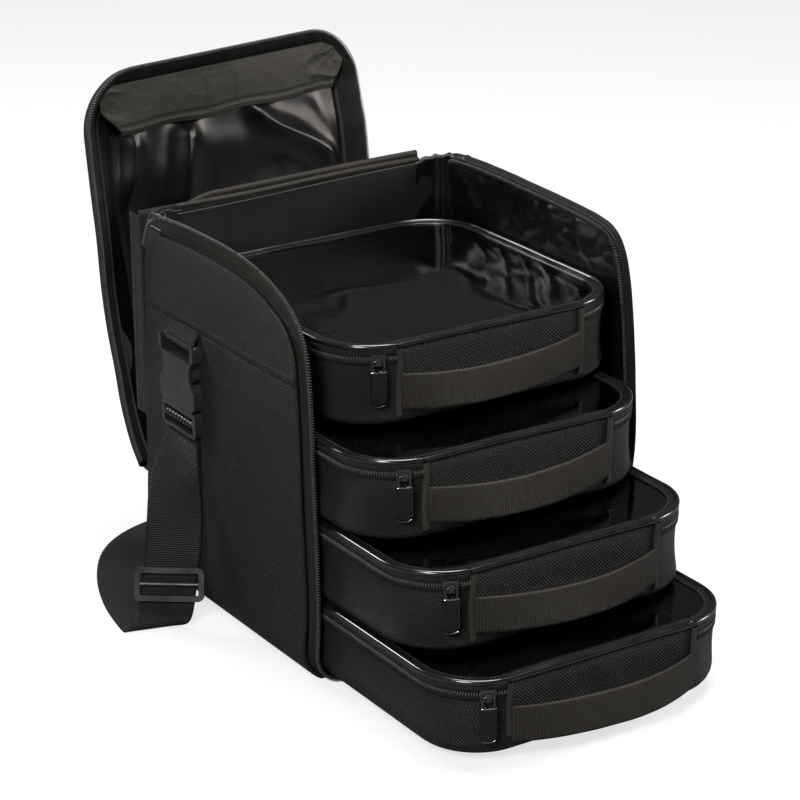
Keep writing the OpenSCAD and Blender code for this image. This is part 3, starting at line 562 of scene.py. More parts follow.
# Corner gussets: where side and back panel round off at the top, a pleated piece of cloth joins them.
# It runs up inside the corner, over the top, and down outside.
for side, word in sides:
    a = radians(np.pad(linspace(0, 90, 30), 10, mode="edge"))
    way = points(cos(a), sin(a))
    mid = points(append(full(40, 141.5), linspace(140.5, 124, 10)),
                 append(linspace(108, 124.5, 10), full(40, 125.5)))
    t = linspace(0, 1, 50)
    top = 350.5 - 4 * t if side > 0 else 338 + 5 * smooth(t, 0.5, 0.9)
    top = top + 2.2 * bell(t, 0.42, 0.06) + 1.8 * bell(t, 0.68, 0.05) + 1.5 * bell(t, 0.86, 0.04)
    over = 2.9 * arc(linspace(0, 180, 12))
    reach = concatenate([full(14, 16.0), 18.9 - over[:, 0], full(6, 21.8)])
    drop = concatenate([linspace(-95, -3, 14), over[:, 1] - 2.9, linspace(-4, -40, 6)])
    pleat = 3.2 * bell(t, 0.42, 0.05) + 1.6 * bell(t, 0.62, 0.04)
    out_by = (reach[:, None] - pleat * smooth(20.0 - reach, 0, 3)[:, None])[..., None]
    flat = mid + way * out_by
    grid = points(side * flat[..., 0], flat[..., 1], top + drop[:, None])
    surface(f"corner_gusset_{word}", grid, satin, "case", flip=side < 0)

# ---------------------------------------------------------------- lining of the case body
# Dark grey satin, sewn in along the zip and hanging a little slack, so that it lies in long soft
# folds above the pouches. Below them it is held flat by the board and the panels.
for side, word in sides:
    def slackness(x, y, z):
        """Folds that grow above the pouches: pleats that run down from the zip, and sharper creases."""
        p = points(x * side, y, z)
        free = smooth(z, 285, 312) * smooth(352 - z, 3, 14)
        pleats = 0.5 * sin(y / 7.5 + 1.3 * ruffle(p, 60, 31 + side)) * smooth(352 - z, 70, 20)
        sharp = 2.6 * creases(p, 46, 33 + side, (1, 1, 0.55)) + 1.2 * creases(p, 21, 36 + side)
        return -(free * (1.2 + pleats + sharp) + 0.25 * ruffle(p, 40, 38))
    grid = side_wall(side, 4.5, tape_width + 1.2 if side < 0 else 10.5, slackness)
    liner = surface(f"side_lining_{word}", grid, satin, "case", ["body_lining"],
                    flip=side > 0, wall=0.5)

x, y = meshgrid(linspace(-floor_half, floor_half, 60), linspace(floor_front, 141, 60))
grid = points(x, y, 4.6 + 0.15 * ruffle(points(x, y, 0.0), 50, 41))
floor_lining = surface("floor_lining", grid, satin, "case", flip=True, wall=0.4)

x, z = rounded_panel(back_half - 0.8, 6, back_top - 3, 6, 110, 90, 16, back_foot_r)
p = points(x, lining_y, z)
soft = 0.6 * creases(p, 70, 44, (1, 1, 0.6)) * smooth(z, 240, 300) + 0.15 * ruffle(p, 60, 45)
back_lining = surface("back_lining", points(x, lining_y - clip(soft, -0.1, 3), z), matte_lining, "case",
                      wall=0.4)


# ---------------------------------------------------------------- main zip, the body's half
# Herringbone tape sewn round the open edge: along both sides and under the front. A nylon coil runs
# along its rim, and a narrow bound seam joins it to the panels.
def nylon_finish(name, low, high):
    """Nylon of a zip's coil, a little rubbed."""
    mat, tree, bsdf = new_material(name)
    grit = worn(tree, 160, 0.6)
    feed(tree, bsdf, {"Base Color": tones(tree, math(tree, "ADD", grit, 0.4), low, high),
                      "Roughness": math(tree, "ADD", grit, 0.34)})
    return mat


# The first coil finish is made far lighter than black nylon, as painted glints on its teeth; the
# second, darker one serves the body's half of the main zip.
nylon_painted_glint = nylon_finish("nylon_coil_painted_glint", (0.035, 0.033, 0.03), (0.16, 0.152, 0.14))
dark_nylon = nylon_finish("nylon_coil_dark", (0.016, 0.015, 0.0135), (0.085, 0.08, 0.072))


def coil(name, path, across, out, half_width, half_height, pitch, wire, finish):
    """A zip's coil: a flattened helix about the path, half_width along across and half_height along
    out, one turn to each pitch, as a wire with four sides."""
    run = lengths(path)
    at = linspace(0, run[-1], int(run[-1] / pitch) * 8)
    a, b = [unit(sample(np.broadcast_to(way, path.shape), run, at)) for way in (across, out)]
    angle = (2 * pi * at / pitch)[:, None]
    line = sample(path, run, at) + a * half_width * cos(angle) + b * half_height * sin(angle)
    away = unit(a * cos(angle) + b * sin(angle))
    beside = unit(cross(unit(np.gradient(line, axis=0)), away))
    return surface(name, carry(line, away, beside, arc([45, 135, 225, 315], wire)), finish, loop=True)


# The zip's rim runs down the left edge, across under the front, and up the right edge. With it come the
# directions in to the panel and out of the case.
zip_inset = 1.8
zip_x = case_half - zip_inset
main_coil = (1.7, 1.35, 2.4, 0.5)  # half width, half height, pitch and wire
left, right = [inset(outline(side), zip_inset) for side in (-1, 1)]
bend = linspace(0, pi / 2, 24)[1:]
round_by = (corner_r - zip_inset) * points(cos(bend), sin(bend))
corner = points(corner_r - case_half - round_by[:, 0], left[0, 0], corner_r - round_by[:, 1])
under_x = linspace(corner_r - case_half, case_half - corner_r, 90)[1:-1]
path = concatenate([points(-zip_x, left[::-1, 0], left[::-1, 1]), corner,
                    points(under_x, left[0, 0], zip_inset), corner[::-1] * [-1, 1, 1],
                    points(zip_x, right[:, 0], right[:, 1])])
a = concatenate([np.zeros(400), bend, full(88, pi / 2), pi - bend[::-1], full(400, pi)])
away = points(-cos(a), 0.0, -sin(a))
inner = unit(cross(unit(np.gradient(path, axis=0)), away))
inner = inner * np.sign((inner * ([0, 0, 180] - path)).sum(axis=1))[:, None]
flat = even(hstack([path, inner, away]), 900)
path, inner, away = flat[:, :3], unit(flat[:, 3:6]), unit(flat[:, 6:])

# On the right side the tape leans in over the case, so that its coil hangs inside the edge.
leaning = (smooth(path[:, 2], 90, 170) * (path[:, 0] > 0))[:, None]
lean_way = (7 * inner - 6 * away) * leaning
seam_at = path
path = path + lean_way
upright_tape = array([[1.0, 0.9], [3, 0.75], [5, 0.5], [8, 0.4], [11, 0.5], [14, 0.6], [15.2, 0.2],
                      [15.2, -0.6], [11, -0.6], [8, -0.6], [3, -0.6], [1, -0.5]])
leaning_tape = array([[-1.0, 0.6], [-3.4, 2.6], [-5.6, 4.6], [-6.9, 6.2], [-4, 7.2], [4, 7.4],
                      [8.2, 7.0], [8.2, 6.0], [-3, 6.2], [-5.4, 5.2], [-2.8, 1.4], [-0.2, -0.6]])
share = leaning[..., None]
upright, leant = [carry(path, inner, away, profile) for profile in (upright_tape, leaning_tape)]
grid = upright * (1 - share) + leant * share
grid = grid + away[:, None] * 0.25 * ruffle(grid, 25, 51)[..., None]
surface("main_zip_tape_left", grid[:450], herringbone, "case", ["body_zip"], loop=True)
surface("main_zip_tape_right", grid[449:], dark_tape, "case", loop=True)
settle(coil("main_zip_teeth", path, inner, away, *main_coil, dark_nylon), "case")
bead_turn = arange(0, 360, 45)
bead = [16.6, 0.3] + arc(bead_turn, 1.5, 1.2)
grid = carry(seam_at, inner, away, bead)
surface("main_zip_bound_seam", grid, twill, "case", loop=True, flip=True)
grid = carry(seam_at + 2.4 * away * leaning, inner, away, bead - [0, 3.9])
surface("main_zip_inner_binding", grid, tape_cloth, "case", loop=True, flip=True)
row = stitches("main_zip_stitches", seam_at + inner * 13.2 + away * 0.75, away, 3.4, 2.5, 0.25, thread)
settle(row, "case")

# ---------------------------------------------------------------- cover
# One padded twill panel that is the case's top and front. Unzipped, it hangs behind the back panel
# from a cloth hinge, turns up again at the fold between top and front, and stands on that fold.
left_rim = [(164, 101), (178, 118), (192, 146), (202, 179), (214, 214), (222, 251), (227, 297),
            (234, 334), (242, 388), (244, 415), (245, 446)]
right_rim = [(222, 108), (236, 122), (250, 148), (259, 180), (268, 214), (276, 251), (284, 297),
             (292, 346), (301, 374), (309, 405), (315, 440)]
rim_corner = 57.0
rim_left = through([(-case_half, y, z) for y, z in left_rim], 300)
rim_right = through([(case_half, y, z) for y, z in right_rim], 300)
section_height = lengths(rim_left)[-1]


def on_cover(x, h, depth):
    """A place on the front section: x from its middle line, h up from its foot along the slope, and
    depth behind the rim. It is ruled between the two measured side rims."""
    x, h, depth = [part[..., None] for part in np.broadcast_arrays(x, h, depth)]
    v = clip(h / section_height, 0, 1) * 299
    i = clip(v[..., 0].astype(int), 0, 298)
    f = v - i[..., None]
    a = rim_left[i] * (1 - f) + rim_left[i + 1] * f
    b = rim_right[i] * (1 - f) + rim_right[i + 1] * f
    ahead = (rim_left[i + 1] - rim_left[i]) + (rim_right[i + 1] - rim_right[i])
    wide = unit(b - a)
    behind = unit(cross(ahead, wide))
    behind = behind * np.sign(behind[..., 1:2])
    stretch = np.linalg.norm(b - a, axis=-1, keepdims=True) / (2 * case_half)
    return (a + b) / 2 + wide * x * stretch + behind * depth


def edge_distance(x, h):
    """How far a place on the front section lies inside its outline, which has two round top corners."""
    a = np.abs(x) - (case_half - rim_corner)
    b = h - (section_height - rim_corner)
    round_part = np.hypot(np.maximum(a, 0), np.maximum(b, 0)) + np.minimum(np.maximum(a, b), 0)
    return rim_corner - round_part


def front_section(margin, rows, columns):
    """X, height and distance from the edge over the front section, inside a margin."""
    x, h = rounded_panel(case_half - margin, 0, section_height - margin, rim_corner - margin, rows,
                         columns, 21)
    return x, h, edge_distance(x, h)


# Outer skin of the front section, 18 mm behind the rim, and the hanging section with the fold. The
# hanging section falls straight to bend_z and then turns in a curve to the front section's foot.
skin_columns, hang_rows, straight_share = 90, 60, 0.62
hang_y, hang_top, bend_z, fold_z = 151.9, 343.0, 150.0, 92.0
hang_half, hang_zip_x, hang_zip_y, hang_lining_y = 159, 158.4, 171.5, 157.6
x, h, e = front_section(12.0, 110, skin_columns)
depth = 20 + 1.6 * smooth(e, 0, 60) + 0.8 * ruffle(points(x, h, h), 110, 61)
depth = depth - 3.0 * smooth(23 - e, 0, 11)
outer = on_cover(x, h, depth)
x = linspace(-hang_half, hang_half, skin_columns)
t = linspace(0, 1, hang_rows)[:, None]
straight = points(x, hang_y, hang_top - clip(t / straight_share, 0, 1) * (hang_top - bend_z))
b = clip((t - straight_share) / (1 - straight_share), 0, 1)[..., None]
above, below = points(x, hang_y, bend_z), points(x, hang_y, 98.0)
before_foot = outer[0] - unit(outer[3] - outer[0]) * 26
before_foot[:, 2] = np.maximum(before_foot[:, 2] - 6, 84)
a = 1 - b
curve = a**3 * above + 3 * a**2 * b * below + 3 * a * b**2 * before_foot + b**3 * outer[0]
hanging = np.where(t[..., None] < straight_share, straight, curve)
skin = concatenate([hanging[:-1], outer])
skin[..., 1] += 0.6 * ruffle(skin, 80, 62) * smooth(hang_top - skin[..., 2], 0, 60)
cover_skin = surface("cover_outer_skin", skin, twill, wall=4.5, flip=True)
yaw = radians(10.4)
fold_point = array([0, 204.9, fold_z])
fold_way = array([-sin(yaw), cos(yaw), 0.0])
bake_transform(cover_skin)
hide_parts("cover_top_panel", "cover_front_panel")

x = linspace(-130, 130, 80)
sink = 3.5 * smooth(x, -band_half, band_half) - 9 * (1 - smooth(x + 131, 0, 46))
a = radians(linspace(-95, 115, 22))
over = points(150.9 + 3.2 * sin(a), 347.4 + 3.2 * cos(a))
over = concatenate([[[147.5, 328]], over, [[152.0, 330]]])
hinge = surface("cover_cloth_hinge", points(x, over[:, :1], over[:, 1:] + sink), matte_lining, wall=0.5)
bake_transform(hinge)
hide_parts("hinge_welt")

# Lining of the cover: satin with long folds that fan out from the corners, each given by its ends, its
# width and its height. A gathered strip is sewn along the free end.
x, h, e = front_section(20.0, 150, 130)
e = e - 20
p = on_cover(x, h, 0.0)
fold_lines = [(-101, 304, -120, 226, 12, 9), (-43, 304, -54, 195, 17, 12), (28, 304, 150, 212, 11, 8.5),
              (112, 304, 122, 270, 7, 3.5), (-132, 318, -130, 120, 4, 3), (-8, 290, -14, 120, 14, 1.0),
              (70, 240, 96, 90, 14, 1.0)]
long_folds = 0.3 * creases(p, 70, 66, (1, 1, 0.35))
for x0, h0, x1, h1, width, tall in fold_lines:
    span = np.hypot(x1 - x0, h1 - h0)
    way_x, way_h = (x1 - x0) / span, (h1 - h0) / span
    run = (x - x0) * way_x + (h - h0) * way_h
    off = (x - x0) * way_h - (h - h0) * way_x + 2.5 * sin(run / 21 + x0)
    fade = smooth(run, -12, 22) * smooth(span - run, -12, 35)
    long_folds = long_folds + tall * fade * np.exp(-np.abs(off / width) ** 1.6)
depth = 15.5 - long_folds * smooth(e, 0, 22) - 1.0 * ruffle(p, 70, 68) * smooth(e, 0, 20)
# The cover's lining takes the darker satin copy, as painted shade.
cover_lining = surface("cover_front_satin", on_cover(x, h, depth), cover_satin_painted_shade, "cover_front",
                       ["cover_front_lining"], wall=0.5)

u, v = meshgrid(linspace(-1, 1, 170), linspace(0, 1, 46))
x = u * (121 + 22 * smooth(v, 0, 0.6) + 14 * (u > 0) * (1 - v))
h = section_height - 62 + 47 * v + 1.2 * sin(u * 9) * (1 - v)
p = on_cover(x, h, 0.0)
rumpled = 0.08 + 0.7 * smooth(u, 0.55, 0.85) + 0.35 * smooth(-u, 0.75, 0.95)
small_folds = 2.6 * creases(p, 26, 71, (0.8, 1, 1.2)) + creases(p, 12, 72)
gather = rumpled * small_folds + 0.4 * ruffle(p, 70, 73)
gather = gather - 0.9 * bell(v, 0.17, 0.03) + 0.8 * smooth(0.17 - v, 0, 0.06)
depth = 6.5 - gather * smooth(v, 0, 0.1) * smooth(1 - v, 0, 0.15) - 1.5 * sin(pi * v)
strip = surface("cover_gathered_strip", on_cover(x, h, depth), flap_cloth, "cover_front",
                wall=0.5)
hem_row = 8
x, h, depth = x[hem_row], h[hem_row], depth[hem_row]
hem = on_cover(x, h, depth - 1.0)
out = unit(hem - on_cover(x, h, depth))
settle(stitches("cover_hem_stitch", hem, out, 3.4, 2.8, 0.7, dark_thread), "cover_front")
x = concatenate([linspace(-19, 17, 19), full(17, 17.0), linspace(17, -19, 19), full(17, -19.0)])
h = concatenate([full(19, 303.0), linspace(303, 335, 17), full(19, 335.0), linspace(335, 303, 17)])
row = stitches("cover_box_stitch", on_cover(x, h, 3.9), out[84], 3.0, 2.6, 0.65, dark_thread)
settle(row, "cover_front")

x, z = meshgrid(linspace(-150, 150, 70), linspace(338, bend_z, 70))
grid = points(x, hang_lining_y + 1.2 * creases(points(x, 157.0, z), 60, 75, (1, 1, 0.4)), z)
hang_lining = surface("cover_top_satin", grid, satin, "cover_top",
                      ["cover_top_lining"], wall=0.5)

# Main zip, the cover's half. Its tape slopes from the padded edge out to the rim that carries the coil.
# The rim goes up the left side, round the two top corners, and down the right side.
bend = rim_corner * arc(linspace(0, 90, 40))[1:]
side_h = linspace(0, section_height - rim_corner, 120)
half_rim = concatenate([points(-case_half, side_h),
                           points(rim_corner - case_half - bend[:, 0], side_h[-1] + bend[:, 1])])
rim = even(concatenate([half_rim, (half_rim * [-1, 1])[::-1]]), 1000)
rim_way = unit(np.gradient(rim, axis=0))


def on_rim(inwards, depth):
    """Places along the cover's rim, moved inwards by some distances and set back by a depth."""
    x = rim[:, :1] + rim_way[:, 1:] * inwards
    h = rim[:, 1:] - rim_way[:, :1] * inwards
    return on_cover(x, h, depth)


inwards = array([1.2, 4, 8, 12, 16, 19.5, 22])
p = on_rim(inwards, 0.0)
grid = on_rim(inwards, [0.4, 1.6, 4.0, 7.5, 11.5, 14.8, 15.8] + 0.7 * ruffle(p, 30, 77))
surface("cover_zip_tape", grid, dark_tape, "cover_front", ["cover_front_zip"], wall=0.9)
grid = on_rim(array([1.4, 0.9, 1.8, 5.0, 9.5, 13.0]), [0.8, 3.5, 8, 13, 17, 20.4])
surface("cover_gusset", grid, twill, "cover_front", wall=0.8, flip=True)
rim_line = on_rim(1.4, 0.4)[:, 0]
inner_line = on_rim(20, 13.5)[:, 0]
wide = unit(inner_line - rim_line)
proud = unit(cross(np.gradient(rim_line, axis=0), wide))
settle(coil("cover_zip_teeth", rim_line, wide, proud, *main_coil, nylon_painted_glint), "cover_front")
grid = carry(inner_line, wide, proud, arc(bead_turn, 1.5, 1.3))
surface("cover_inner_binding", grid, tape_cloth, "cover_front", loop=True)

hang_profile = array([[0.8, 0.6], [6, 0.5], [12, 0.6], [15.5, 0.3], [15.5, -0.6], [8, -0.6],
                      [0.8, -0.6]])
for side, word in sides:
    drop = points(side * hang_zip_x, hang_zip_y, linspace(338, bend_z, 120))
    aside = side * to_right
    grid = carry(drop, -to_back, aside, hang_profile)
    surface(f"cover_top_zip_tape_{word}", grid, tape_cloth, "cover_top",
            nodes=["cover_top_zip"] if side < 0 else (), loop=True, flip=side < 0)
    teeth = coil(f"cover_top_zip_teeth_{word}", drop, -to_back, aside, 1.5, 1.35, 2.0, 0.42, nylon_painted_glint)
    settle(teeth, "cover_top")

# ---------------------------------------------------------------- four zipped pouches
# Each is a shallow tray of padded twill with rounded corners. Its front wall stands between two bound
# seams and carries a webbing handle. From seam to seam round the back a zip joins the wall to the
# lid, which is a clear vinyl window in a glossy black border, with glossy piping round its rim.
enamel, tree, bsdf = new_material("glossy_piping")
feed(tree, bsdf, {"Roughness": math(tree, "ADD", worn(tree, 60, 0.35), 0.2),
                  "Base Color": (0.006, 0.0056, 0.0053, 1),
                  "Coat Weight": 0.35, "Coat Roughness": 0.18})
vinyl, tree, bsdf = new_material("clear_vinyl")
haze = math(tree, "MAXIMUM", math(tree, "ADD", worn(tree, 14, 0.22), 0.06), 0.03)
feed(tree, bsdf, {"Roughness": haze, "Base Color": (0.44, 0.44, 0.45, 1), "IOR": 1.46,
                  "Transmission Weight": 1.0})

pouch_corner_x, pouch_r, pouch_depth = 86.0, 58.0, 285.0
seam_x, seam_angle = 93.5, 7.43
pouch_fronts = [-343.7, -287.7, -219.7, -148.7]
pouch_shifts = [-11.0, -9.0, -9.0, 12.0]
pouch_pitch, first_z = 72.3, 5.3
rim_height, wall_height = 69.5, 57.0
middle = array([0, pouch_depth / 2])
wall_columns, zip_columns, lid_columns = 360, 520, 420
handle_half, handle_half_width, handle_bow, handle_z = 91.5, 15.8, 16.5, 30.3


def pouch_plan(seam_gap, count):
    """A pouch's outline from its left seam round the back to its right seam, with outward directions.
    seam_gap is how many degrees it starts past each seam."""
    start = seam_angle + seam_gap
    bends = ((-1, pouch_r, 270 - start, 180), (-1, pouch_depth - pouch_r, 180, 90),
             (1, pouch_depth - pouch_r, 90, 0), (1, pouch_r, 0, start - 90))
    parts = []
    for side, centre_y, first, last in bends:
        way = arc(linspace(first, last, 60))
        parts.append(hstack([[side * pouch_corner_x, centre_y] + pouch_r * way, way]))
    line = even(concatenate(parts), count)
    return line[:, :2], unit(line[:, 2:])


def whole_plan(count):
    """The closed outline: first the part behind the seams, then the front wall, marked with 1."""
    places, ways = pouch_plan(0, 2 * count)
    bend_way = arc(linspace(seam_angle - 90, -90, 12))
    bend = [pouch_corner_x, pouch_r] + pouch_r * bend_way
    across = points(linspace(pouch_corner_x, -pouch_corner_x, 60)[1:-1], 0.0)
    fore = concatenate([bend[1:], across, bend[::-1] * [-1, 1]])
    fore_way = concatenate([bend_way[1:], np.tile([0, -1], (58, 1)), bend_way[::-1] * [-1, 1]])
    line = concatenate([hstack([places, ways, np.zeros((len(places), 1))]),
                        hstack([fore, fore_way, np.ones((len(fore), 1))])])
    line = even(concatenate([line, line[:1]]), count + 1)[:-1]
    return line[:, :2], unit(line[:, 2:4]), line[:, 4]


def level_up(places, ways, offset, z):
    """Plan places set off outwards by offset and lifted to z. Both can vary by row and by column."""
    flat = places + ways * np.asarray(offset)[..., None]
    return points(flat[..., 0], flat[..., 1], z)


def fill(ring, rows):
    """Rings of points at height 0, from the pouch's middle out to a ring, and how far out each lies."""
    share = linspace(0.0004, 1, rows)[:, None]
    flat = middle + (ring - middle) * share[..., None]
    return points(flat[..., 0], flat[..., 1], 0.0), share


# Rows of the thin bands: each gives its offset outwards and its height.
skirt_rows = array([[-0.7, 68.6], [-0.25, 66.5], [-0.5, 64.2], [-0.9, 62.4], [-1.7, 61.6],
                    [-2.3, 61.4]])
tape_rows = array([[-1.5, 61.6], [-1.35, 60.4], [-1.45, 59.2], [-1.3, 58.0], [-1.1, 57.2], [-0.6, 56.2],
                   [-0.5, 54.4]])
tape_ripple = array([[0.3], [0.3], [0.2], [0.4], [0.6], [0.5], [0.1]])
border_rows = array([[-2.4, 70.0], [-4.2, 70.7], [-6, 70.3], [-8, 70.1], [-10, 70.0], [-10.7, 69.8],
                     [-10.7, 69.3]])
seam_profile = array([[-2.6, -0.6], [-2.5, 1.2], [-1.4, 2.0], [0.3, 1.9], [1.8, 1.7], [2.7, 1.1],
                      [2.8, -0.6]])
piping = arc(arange(0, 360, 30), 2.45)

for k in range(4):
    n = k + 1
    name = f"pouch_{n}"
    lid = "pouch_lid_4" if n == 4 else name
    origin = array([pouch_shifts[k], pouch_fronts[k], first_z + pouch_pitch * k])
    seed = 100 + 20 * k
    base_r = 20.0 if k == 0 else 8.0

    # Tray: outside from the middle of the floor out, up the wall, over its edge and down inside.
    places, ways, is_front = whole_plan(wall_columns)
    floor = fill(places - ways * base_r, 24)[0]
    a = radians(linspace(-90, 0, 9))[1:, None]
    bend = level_up(places, ways, (cos(a) - 1) * base_r, base_r + base_r * sin(a))
    top_z = wall_height + is_front * (rim_height - 1.5 - wall_height)
    up_wall = base_r + linspace(0, 1, 26)[1:, None] * (top_z - base_r)
    outside = concatenate([floor, bend, level_up(places, ways, 0.0, up_wall)])
    height = outside[..., 2].copy()
    waist = 1.9 * hump(height, 6, 62) * (1 - 0.5 * is_front)
    p = outside + [0, 0, 90 * k]
    slack = 0.9 * ruffle(p, 60, seed) + 0.5 * ruffle(p, 24, seed + 1, (1, 1, 0.5))
    push = (slack * 0.6 - waist) * smooth(height, 2, 16) * smooth(top_z + 6 - height, 3, 16)
    push -= is_front * 2.6 * smooth(height, 56, 69) ** 2 + (1 - is_front) * 0.8 * smooth(height, 53, 57)
    outside[..., :2] += ways * push[..., None]
    uneven_foot = 0.25 * smooth(16 - height, 0, 16) * (1 + ruffle(p, 50, seed + 2))
    outside[..., 2] += 0.2 if k == 0 else uneven_foot
    tray = surface(f"{name}_tray", outside, pouch_twill, name, [f"pouch_tray_{n}"],
                   origin, loop=True, flip=True, wall=2.6)

    # Front piping between the seams, and the lid's piping round the rest of the rim.
    x = linspace(-94.0, 94.0, 120)
    line = points(x, 1.5 + 0.3 * sin(x / 23 + k), rim_height - 0.3 * (np.abs(x) / seam_x) ** 12)
    surface(f"{name}_front_piping", carry(line, to_back, upward, piping), enamel, name,
            origin=origin, loop=True)
    places, ways = pouch_plan(0.9, zip_columns)
    places = places - ways * 0.7 * smooth(places[:, 1:], 150, 230)
    ends = smooth(np.abs(linspace(-1, 1, zip_columns)), 0.985, 1.0)
    dip = 0.2 * ruffle(level_up(places, ways, 0.0, 0.0), 70, seed + 3) - 0.3 * ends
    out = points(ways[:, 0], ways[:, 1], 0.0)
    grid = carry(level_up(places, ways, -1.5, rim_height + dip), out, upward, piping)
    surface(f"{name}_lid_piping", grid, enamel, lid, [f"pouch_lid_rim_{n}"], origin,
            loop=True)

    # Lid skirt and both zip tapes: thin bands that ripple round the corners, where they are pulled up.
    turning = np.abs(ways[:, 0] * ways[:, 1]) * 2
    run = linspace(0, 940, zip_columns)
    ripple = (0.15 + 0.55 * turning) * sin(run / 1.55 + 2 * ruffle(out, 3, seed + 4))
    grid = level_up(places, ways, skirt_rows[:, :1] + 0.25 * ripple, skirt_rows[:, 1:] + dip)
    surface(f"{name}_lid_skirt", grid, twill, lid, origin=origin, wall=0.9, flip=True)
    grid = level_up(places, ways, tape_rows[:, :1] + tape_ripple * ripple, tape_rows[:, 1:])
    surface(f"{name}_zip_tape", grid, dark_tape, name, [f"pouch_zip_{n}"], origin,
            wall=0.7, flip=True)
    line = level_up(places, ways, -0.75, 59.5 + 0.1 * ripple)
    teeth = coil(f"{name}_zip_teeth", line, upward, out, 1.5, 1.1, 2.2, 0.45, nylon_painted_glint)
    settle(teeth, name, origin=origin)
    line = level_up(places, ways, -0.3, 54.9)
    row = stitches(f"{name}_zip_stitches", line, out, 3.2, 2.3, 0.24, thread)
    settle(row, name, origin=origin)

    # Glossy black border round the window, with its row of stitches, and the window itself.
    places, ways, is_front = whole_plan(lid_columns)
    wave = 0.35 * ruffle(level_up(places, ways, 0.0, 0.0), 60, seed + 5)
    grid = level_up(places, ways, border_rows[:, :1] - 2.2 * (is_front > 0.5),
                    border_rows[:, 1:] + wave)
    surface(f"{name}_window_border", grid, enamel, lid, origin=origin, loop=True,
            flip=True)
    ring = level_up(places, ways, -8.6, 70.1 + wave)
    ring = concatenate([ring, ring[:1]])
    row = stitches(f"{name}_window_stitches", ring, upward, 3.0, 1.9, 0.3, thread)
    settle(row, lid, origin=origin)
    pane, share = fill(places - ways * 5.2, 70)
    sag = 0.45 * ruffle(pane, 110, seed + 6)
    sag = sag + 0.25 * creases(pane, 55, seed + 7) * smooth(share, 0.5, 0.9)
    pane[..., 2] = 69.1 - 1.2 * (1 - share**2) - sag * smooth(1 - share, 0, 0.2)
    surface(f"{name}_window", pane, vinyl, lid, [f"pouch_window_{n}"], origin,
            loop=True, wall=0.7)

    # Bound seams on the front, each a folded tape over the joint of wall and zip, with its stitches.
    way = arc([seam_angle - 90])[0]
    for side, word in sides:
        z = linspace(base_r + 0.5, 67.5, 50)
        out_by = pouch_r + 0.2 - 0.95 * hump(z, 6, 62)
        x = side * (pouch_corner_x + way[0] * out_by) + 0.5 * sin(z / 9 + seed)
        facing = array([side * way[0], way[1], 0.0])
        aside = side * unit(cross(facing, upward))
        line = points(x, pouch_r + way[1] * out_by, z) + aside * 1.3
        grid = carry(line, aside, facing, seam_profile)
        surface(f"{name}_bound_seam_{word}", grid, seam_tape, name, origin=origin,
                flip=side > 0)
        line = line + aside * 1.6 + facing * 1.8
        row = stitches(f"{name}_seam_stitches_{word}", line, facing, 3.0, 2.1, 0.45, dark_thread)
        settle(row, name, origin=origin)

    # Handle: a length of webbing sewn into both bound seams. It bows forward and sags in its middle.
    u, v = meshgrid(linspace(-1, 1, 90), linspace(-1, 1, 14))
    bow = 1 - np.abs(u) ** 2.3
    x = u * handle_half
    y = -1.6 - (handle_bow - 1.6 * v + 0.8 * sin(3 * u + k)) * bow - 0.6 * (1 - v**2) * bow
    z = handle_z + v * (handle_half_width - 0.4 * bow) - 2.2 * bow - 0.8 * sin(2 * u + seed)
    y = y - 0.35 * ruffle(points(x, y, z), 30, seed + 9) * bow
    handle = surface(f"{name}_handle", points(x, y, z), webbing, name,
                     [f"pouch_handle_{n}"], origin, wall=1.7)

# ---------------------------------------------------------------- sliders, pulls, buckles
# Sliders, pull plates and the side-release buckles are moulded or cast in black, with a satin skin.
moulded, tree, bsdf = new_material("moulded_black")
place = own_place(tree)
grain = add(tree, "TexNoise", {"Vector": place, "Scale": 1500})
bump = add(tree, "Bump", {"Strength": 0.25, "Distance": 0.0001, "Height": grain.outputs["Fac"]})
feed(tree, bsdf, {"Roughness": math(tree, "ADD", worn(tree, 45, 0.5, place), 0.36),
                  "Normal": bump.outputs[0], "Base Color": (0.0165, 0.0152, 0.0146, 1)})
for name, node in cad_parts.items():
    if name.startswith(("buckle_", "pouch_slider", "strap_adjuster")):
        dress(node, moulded)
        rounding = node.modifiers.new("rounding", "BEVEL")
        rounding.width = 0.00035
        rounding.segments = 2
        rounding.limit_method = "ANGLE"
        rounding.angle_limit = 0.7


def squared(v, power):
    """A sine or cosine drawn out, so that the round it makes has flatter sides."""
    return np.sign(v) * np.abs(v) ** power


# Main sliders: a low cast body with a waist that hugs the coil, and a flat bridge that holds the pull.
slider_y = 117.5
for side, word, half_x in ((-1, "left", 3.1), (1, "right", 4.6)):
    u, a = meshgrid(linspace(-1, 1, 41), radians(arange(0, 360, 10)), indexing="ij")
    fat = np.sqrt(1.001 - np.abs(u) ** 5) * (1 - 0.2 * bell(u, 0.35, 0.3))
    grid = points(side * zip_x + half_x * fat * squared(cos(a), 0.55), slider_y + 6.2 * u,
                  347.7 + 3.7 * fat * squared(sin(a), 0.7))
    surface(f"main_slider_{word}_body", grid, moulded, f"main_slider_{word}",
            [f"main_slider_{word}"], loop=True, flip=True)
    u, a = meshgrid(linspace(-1.7, 1.7, 9), radians(linspace(-110, 110, 30)), indexing="ij")
    grid = points(side * zip_x + 5.2 + 3.0 * cos(a), slider_y + u, 348.2 + 2.9 * sin(a))
    surface(f"main_slider_{word}_bridge", grid, moulded, f"main_slider_{word}",
            wall=0.9, flip=True)

plate_black, metal_painted_highlight = enamel.copy(), enamel.copy()
plate_black.name = "plate_black"
metal_painted_highlight.name = "metal_painted_highlight"
tree = plate_black.node_tree
feed(tree, tree.nodes["Principled BSDF"], {"Coat Weight": 0.1, "Specular IOR Level": 0.3,
                                           "Base Color": (0.002, 0.0019, 0.0018, 1)})
# The metal copy is bright grey, as painted highlights on each pull's bar and lower lip.
tree = metal_painted_highlight.node_tree
feed(tree, tree.nodes["Principled BSDF"], {"Base Color": (0.42, 0.41, 0.39, 1), "Metallic": 1.0})
